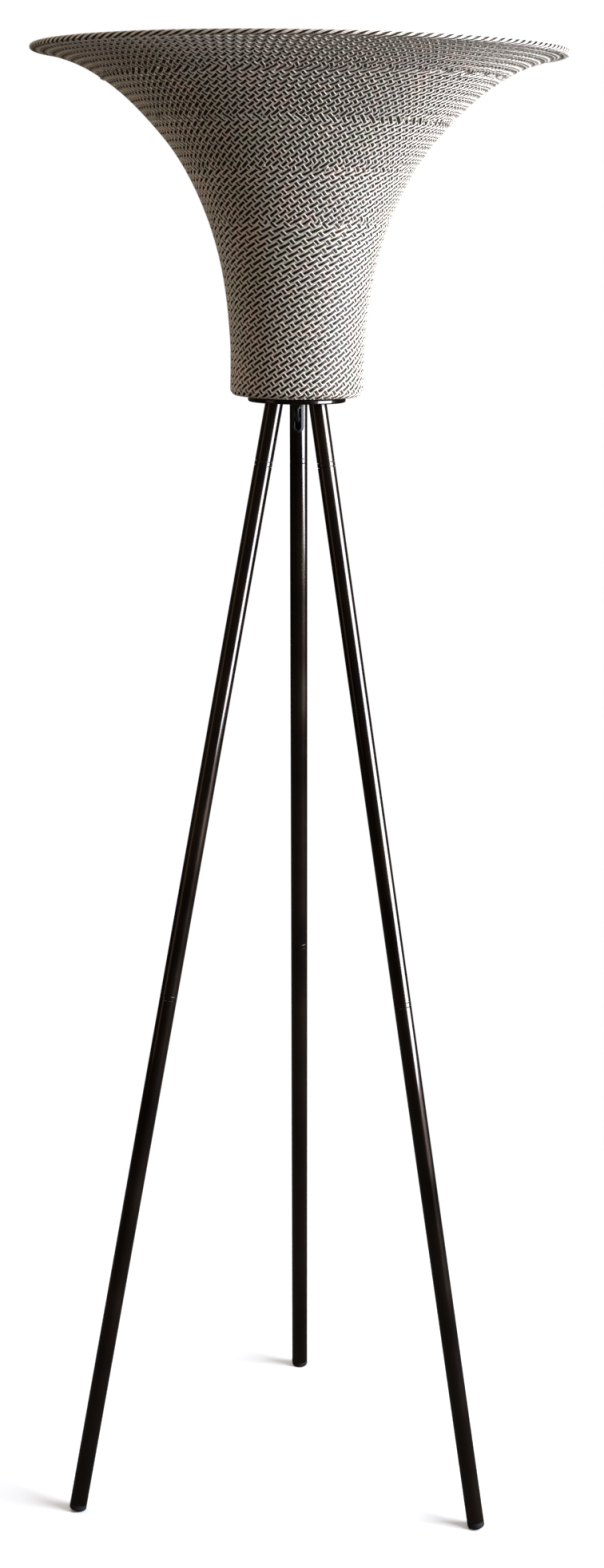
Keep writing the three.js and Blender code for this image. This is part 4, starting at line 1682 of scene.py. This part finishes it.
@dataclass(frozen=True)
class SoftLight:
    """Soft rectangular light, with its size in metres and its power in watts."""

    name: str
    place: Triple
    target: Triple
    size: tuple[float, float]
    power: float
    colour: LightColour
    lights: bool = True
    shines: bool = True

    def build(self) -> None:
        """Makes the light and turns it to its target."""
        data = bpy.data.lights.new(self.name, "AREA")
        data.shape = "RECTANGLE"
        data.size, data.size_y = self.size
        data.energy = self.power
        data.color = self.colour.value
        light = bpy.data.objects.new(self.name, data)
        bpy.context.scene.collection.objects.link(light)
        light.visible_diffuse = self.lights
        light.visible_glossy = self.shines
        light.location = self.place
        light.rotation_mode = "QUATERNION"
        light.rotation_quaternion = (Vector(self.target) - Vector(self.place)).to_track_quat("-Z", "Y")


def turned(first: Vector, second: Vector, angle: float) -> tuple[Vector, Vector]:
    """Turns two directions in their plane, the first towards the second.

    Args:
        first: A direction.
        second: A direction square to it.
        angle: The turn in radians.

    Returns:
        Cosine of the first plus sine of the second, and cosine of the second less sine of the first.
    """
    cosine = math.cos(angle)
    sine = math.sin(angle)
    return cosine * first + sine * second, cosine * second - sine * first


@dataclass
class Studio:
    """Camera, lights, floor and surroundings, in metres."""

    lens: float = 57.142
    sensor: float = 36.0
    camera_place: Triple = (0.2134, -3.0803, 1.6364)
    azimuth_degrees: float = 3.963
    pitch_degrees: float = 12.673
    yaw_degrees: float = 0.227
    roll_degrees: float = 0.713
    floor_reach: float = 14.0
    floor_seen: Colour = (0.95, 0.95, 0.945, 1)
    floor_mirrored: Colour = (0.055, 0.047, 0.04, 1)
    floor_roughness: float = 0.9
    floor_specular: float = 0.1
    fade_start: float = 0.4
    fade_end: float = 1.7
    backdrop: float = 1.0
    ambient: float = 0.165
    reflected: float = 0.05
    lights: tuple[SoftLight, ...] = (
        SoftLight("window", (2.15, -0.6, 1.95), (0, 0, 1.6), (1.6, 1.4), 158, LightColour.DAYLIGHT),
        SoftLight("window_foot", (2.15, -0.6, 0.855), (0, 0, 1.05), (1.6, 0.79), 90,
                  LightColour.DAYLIGHT, lights=False),
        SoftLight("fill", (-2.6, -1.1, 1.35), (0, 0, 1.65), (1.6, 1.6), 21, LightColour.WARM,
                  shines=False),
        SoftLight("fill_shine", (-2.5, -1.4, 1.6), (0, 0, 1.2), (1, 2.4), 3, LightColour.BROWN,
                  lights=False),
        SoftLight("behind", (-1.7, 2.6, 2.3), (0, 0, 1.4), (2, 2), 42, LightColour.PLAIN,
                  shines=False),
        SoftLight("ceiling", (0, 0, 4.4), (0, 0, 0), (4.5, 4.5), 68, LightColour.PLAIN),
    )

    def build(self) -> None:
        """Makes the whole studio."""
        self.build_camera()
        self.build_floor()
        self.build_surroundings()
        for light in self.lights:
            light.build()
        bpy.context.scene.view_settings.view_transform = "Standard"

    def build_camera(self) -> None:
        """Makes the camera: turned to its azimuth, then by yaw, pitch and roll about its own axes."""
        azimuth, pitch, yaw, roll = (math.radians(value) for value in (
            self.azimuth_degrees, self.pitch_degrees, self.yaw_degrees, self.roll_degrees))
        forward, right = turned(Vector((0, 1, 0)), Vector((1, 0, 0)), yaw - azimuth)
        forward, up = turned(forward, Vector((0, 0, 1)), -pitch)
        right, up = turned(right, up, roll)
        data = bpy.data.cameras.new("camera")
        data.lens = self.lens
        data.sensor_width = self.sensor
        camera = bpy.data.objects.new("camera", data)
        bpy.context.scene.collection.objects.link(camera)
        turn = Matrix((right, up, -forward)).transposed().to_4x4()
        camera.matrix_world = Matrix.Translation(self.camera_place) @ turn
        bpy.context.scene.camera = camera

    def build_floor(self) -> None:
        """Makes a pale floor that fades into the surroundings with distance and reflects dimly."""
        reach = self.floor_reach
        mesh = bpy.data.meshes.new("floor")
        corners = [(-reach, -reach, 0), (reach, -reach, 0), (reach, reach, 0), (-reach, reach, 0)]
        mesh.from_pydata(corners, [], [(0, 1, 2, 3)])
        floor = bpy.data.objects.new("floor", mesh)
        bpy.context.scene.collection.objects.link(floor)
        material = bpy.data.materials.new("pale_floor")
        material.use_nodes = True
        graph = Graph(material.node_tree)
        out = material.node_tree.nodes["Material Output"]
        shader = material.node_tree.nodes["Principled BSDF"]
        shader.inputs["Base Color"].default_value = self.floor_seen
        shader.inputs["Roughness"].default_value = self.floor_roughness
        shader.inputs["Specular IOR Level"].default_value = self.floor_specular
        dim = graph.add("BsdfDiffuse", {"Color": self.floor_mirrored})
        rays = graph.add("LightPath")
        chosen = graph.add("MixShader")
        place = graph.add("TexCoord")
        distance = graph.add("VectorMath", operation="LENGTH")
        spread = {"From Min": self.fade_start, "From Max": self.fade_end, "To Min": 1.0, "To Max": 0.0}
        fade = graph.add("MapRange", spread, interpolation_type="SMOOTHSTEP")
        graph.join(
            (rays, "Is Camera Ray", chosen, "Fac"), (dim, "BSDF", chosen, 1),
            (shader, "BSDF", chosen, 2), (chosen, "Shader", out, "Surface"),
            (place, "Object", distance, 0), (distance, "Value", fade, "Value"),
            (fade, "Result", shader, "Alpha"))
        mesh.materials.append(material)

    def build_surroundings(self) -> None:
        """Makes surroundings that look white, light the lamp softly and reflect as a dim room."""
        world = bpy.data.worlds.new("studio")
        world.use_nodes = True
        bpy.context.scene.world = world
        graph = Graph(world.node_tree)
        out = world.node_tree.nodes["World Output"]
        rays = graph.add("LightPath")
        seen, room, mirrored = (
            graph.add("Background", {"Color": (*colour.value, 1), "Strength": strength})
            for colour, strength in (
                (LightColour.PLAIN, self.backdrop), (LightColour.WARM, self.ambient),
                (LightColour.BROWN, self.reflected)))
        first, second = (graph.add("MixShader") for _ in range(2))
        graph.join(
            (rays, "Is Glossy Ray", first, "Fac"), (room, "Background", first, 1),
            (mirrored, "Background", first, 2), (rays, "Is Camera Ray", second, "Fac"),
            (first, "Shader", second, 1), (seen, "Background", second, 2),
            (second, "Shader", out, "Surface"))


def write_sizes() -> None:
    """Updates the view layer; it writes no sizes."""
    bpy.context.view_layer.update()


def main() -> None:
    """Builds the studio, then the lamp's pieces in order, and dresses the nodes that stay."""
    line = ShadeLine(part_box("woven_skin")[0].z)
    Studio().build()
    Weave(line).build()
    ShadeFrame(line).build()
    Tripod(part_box("tripod_disc")[0].z).build()
    Lampholder().build()
    Bulb().build()
    dress_kept_nodes()
    write_sizes()


if __name__ == "__main__":
    main()
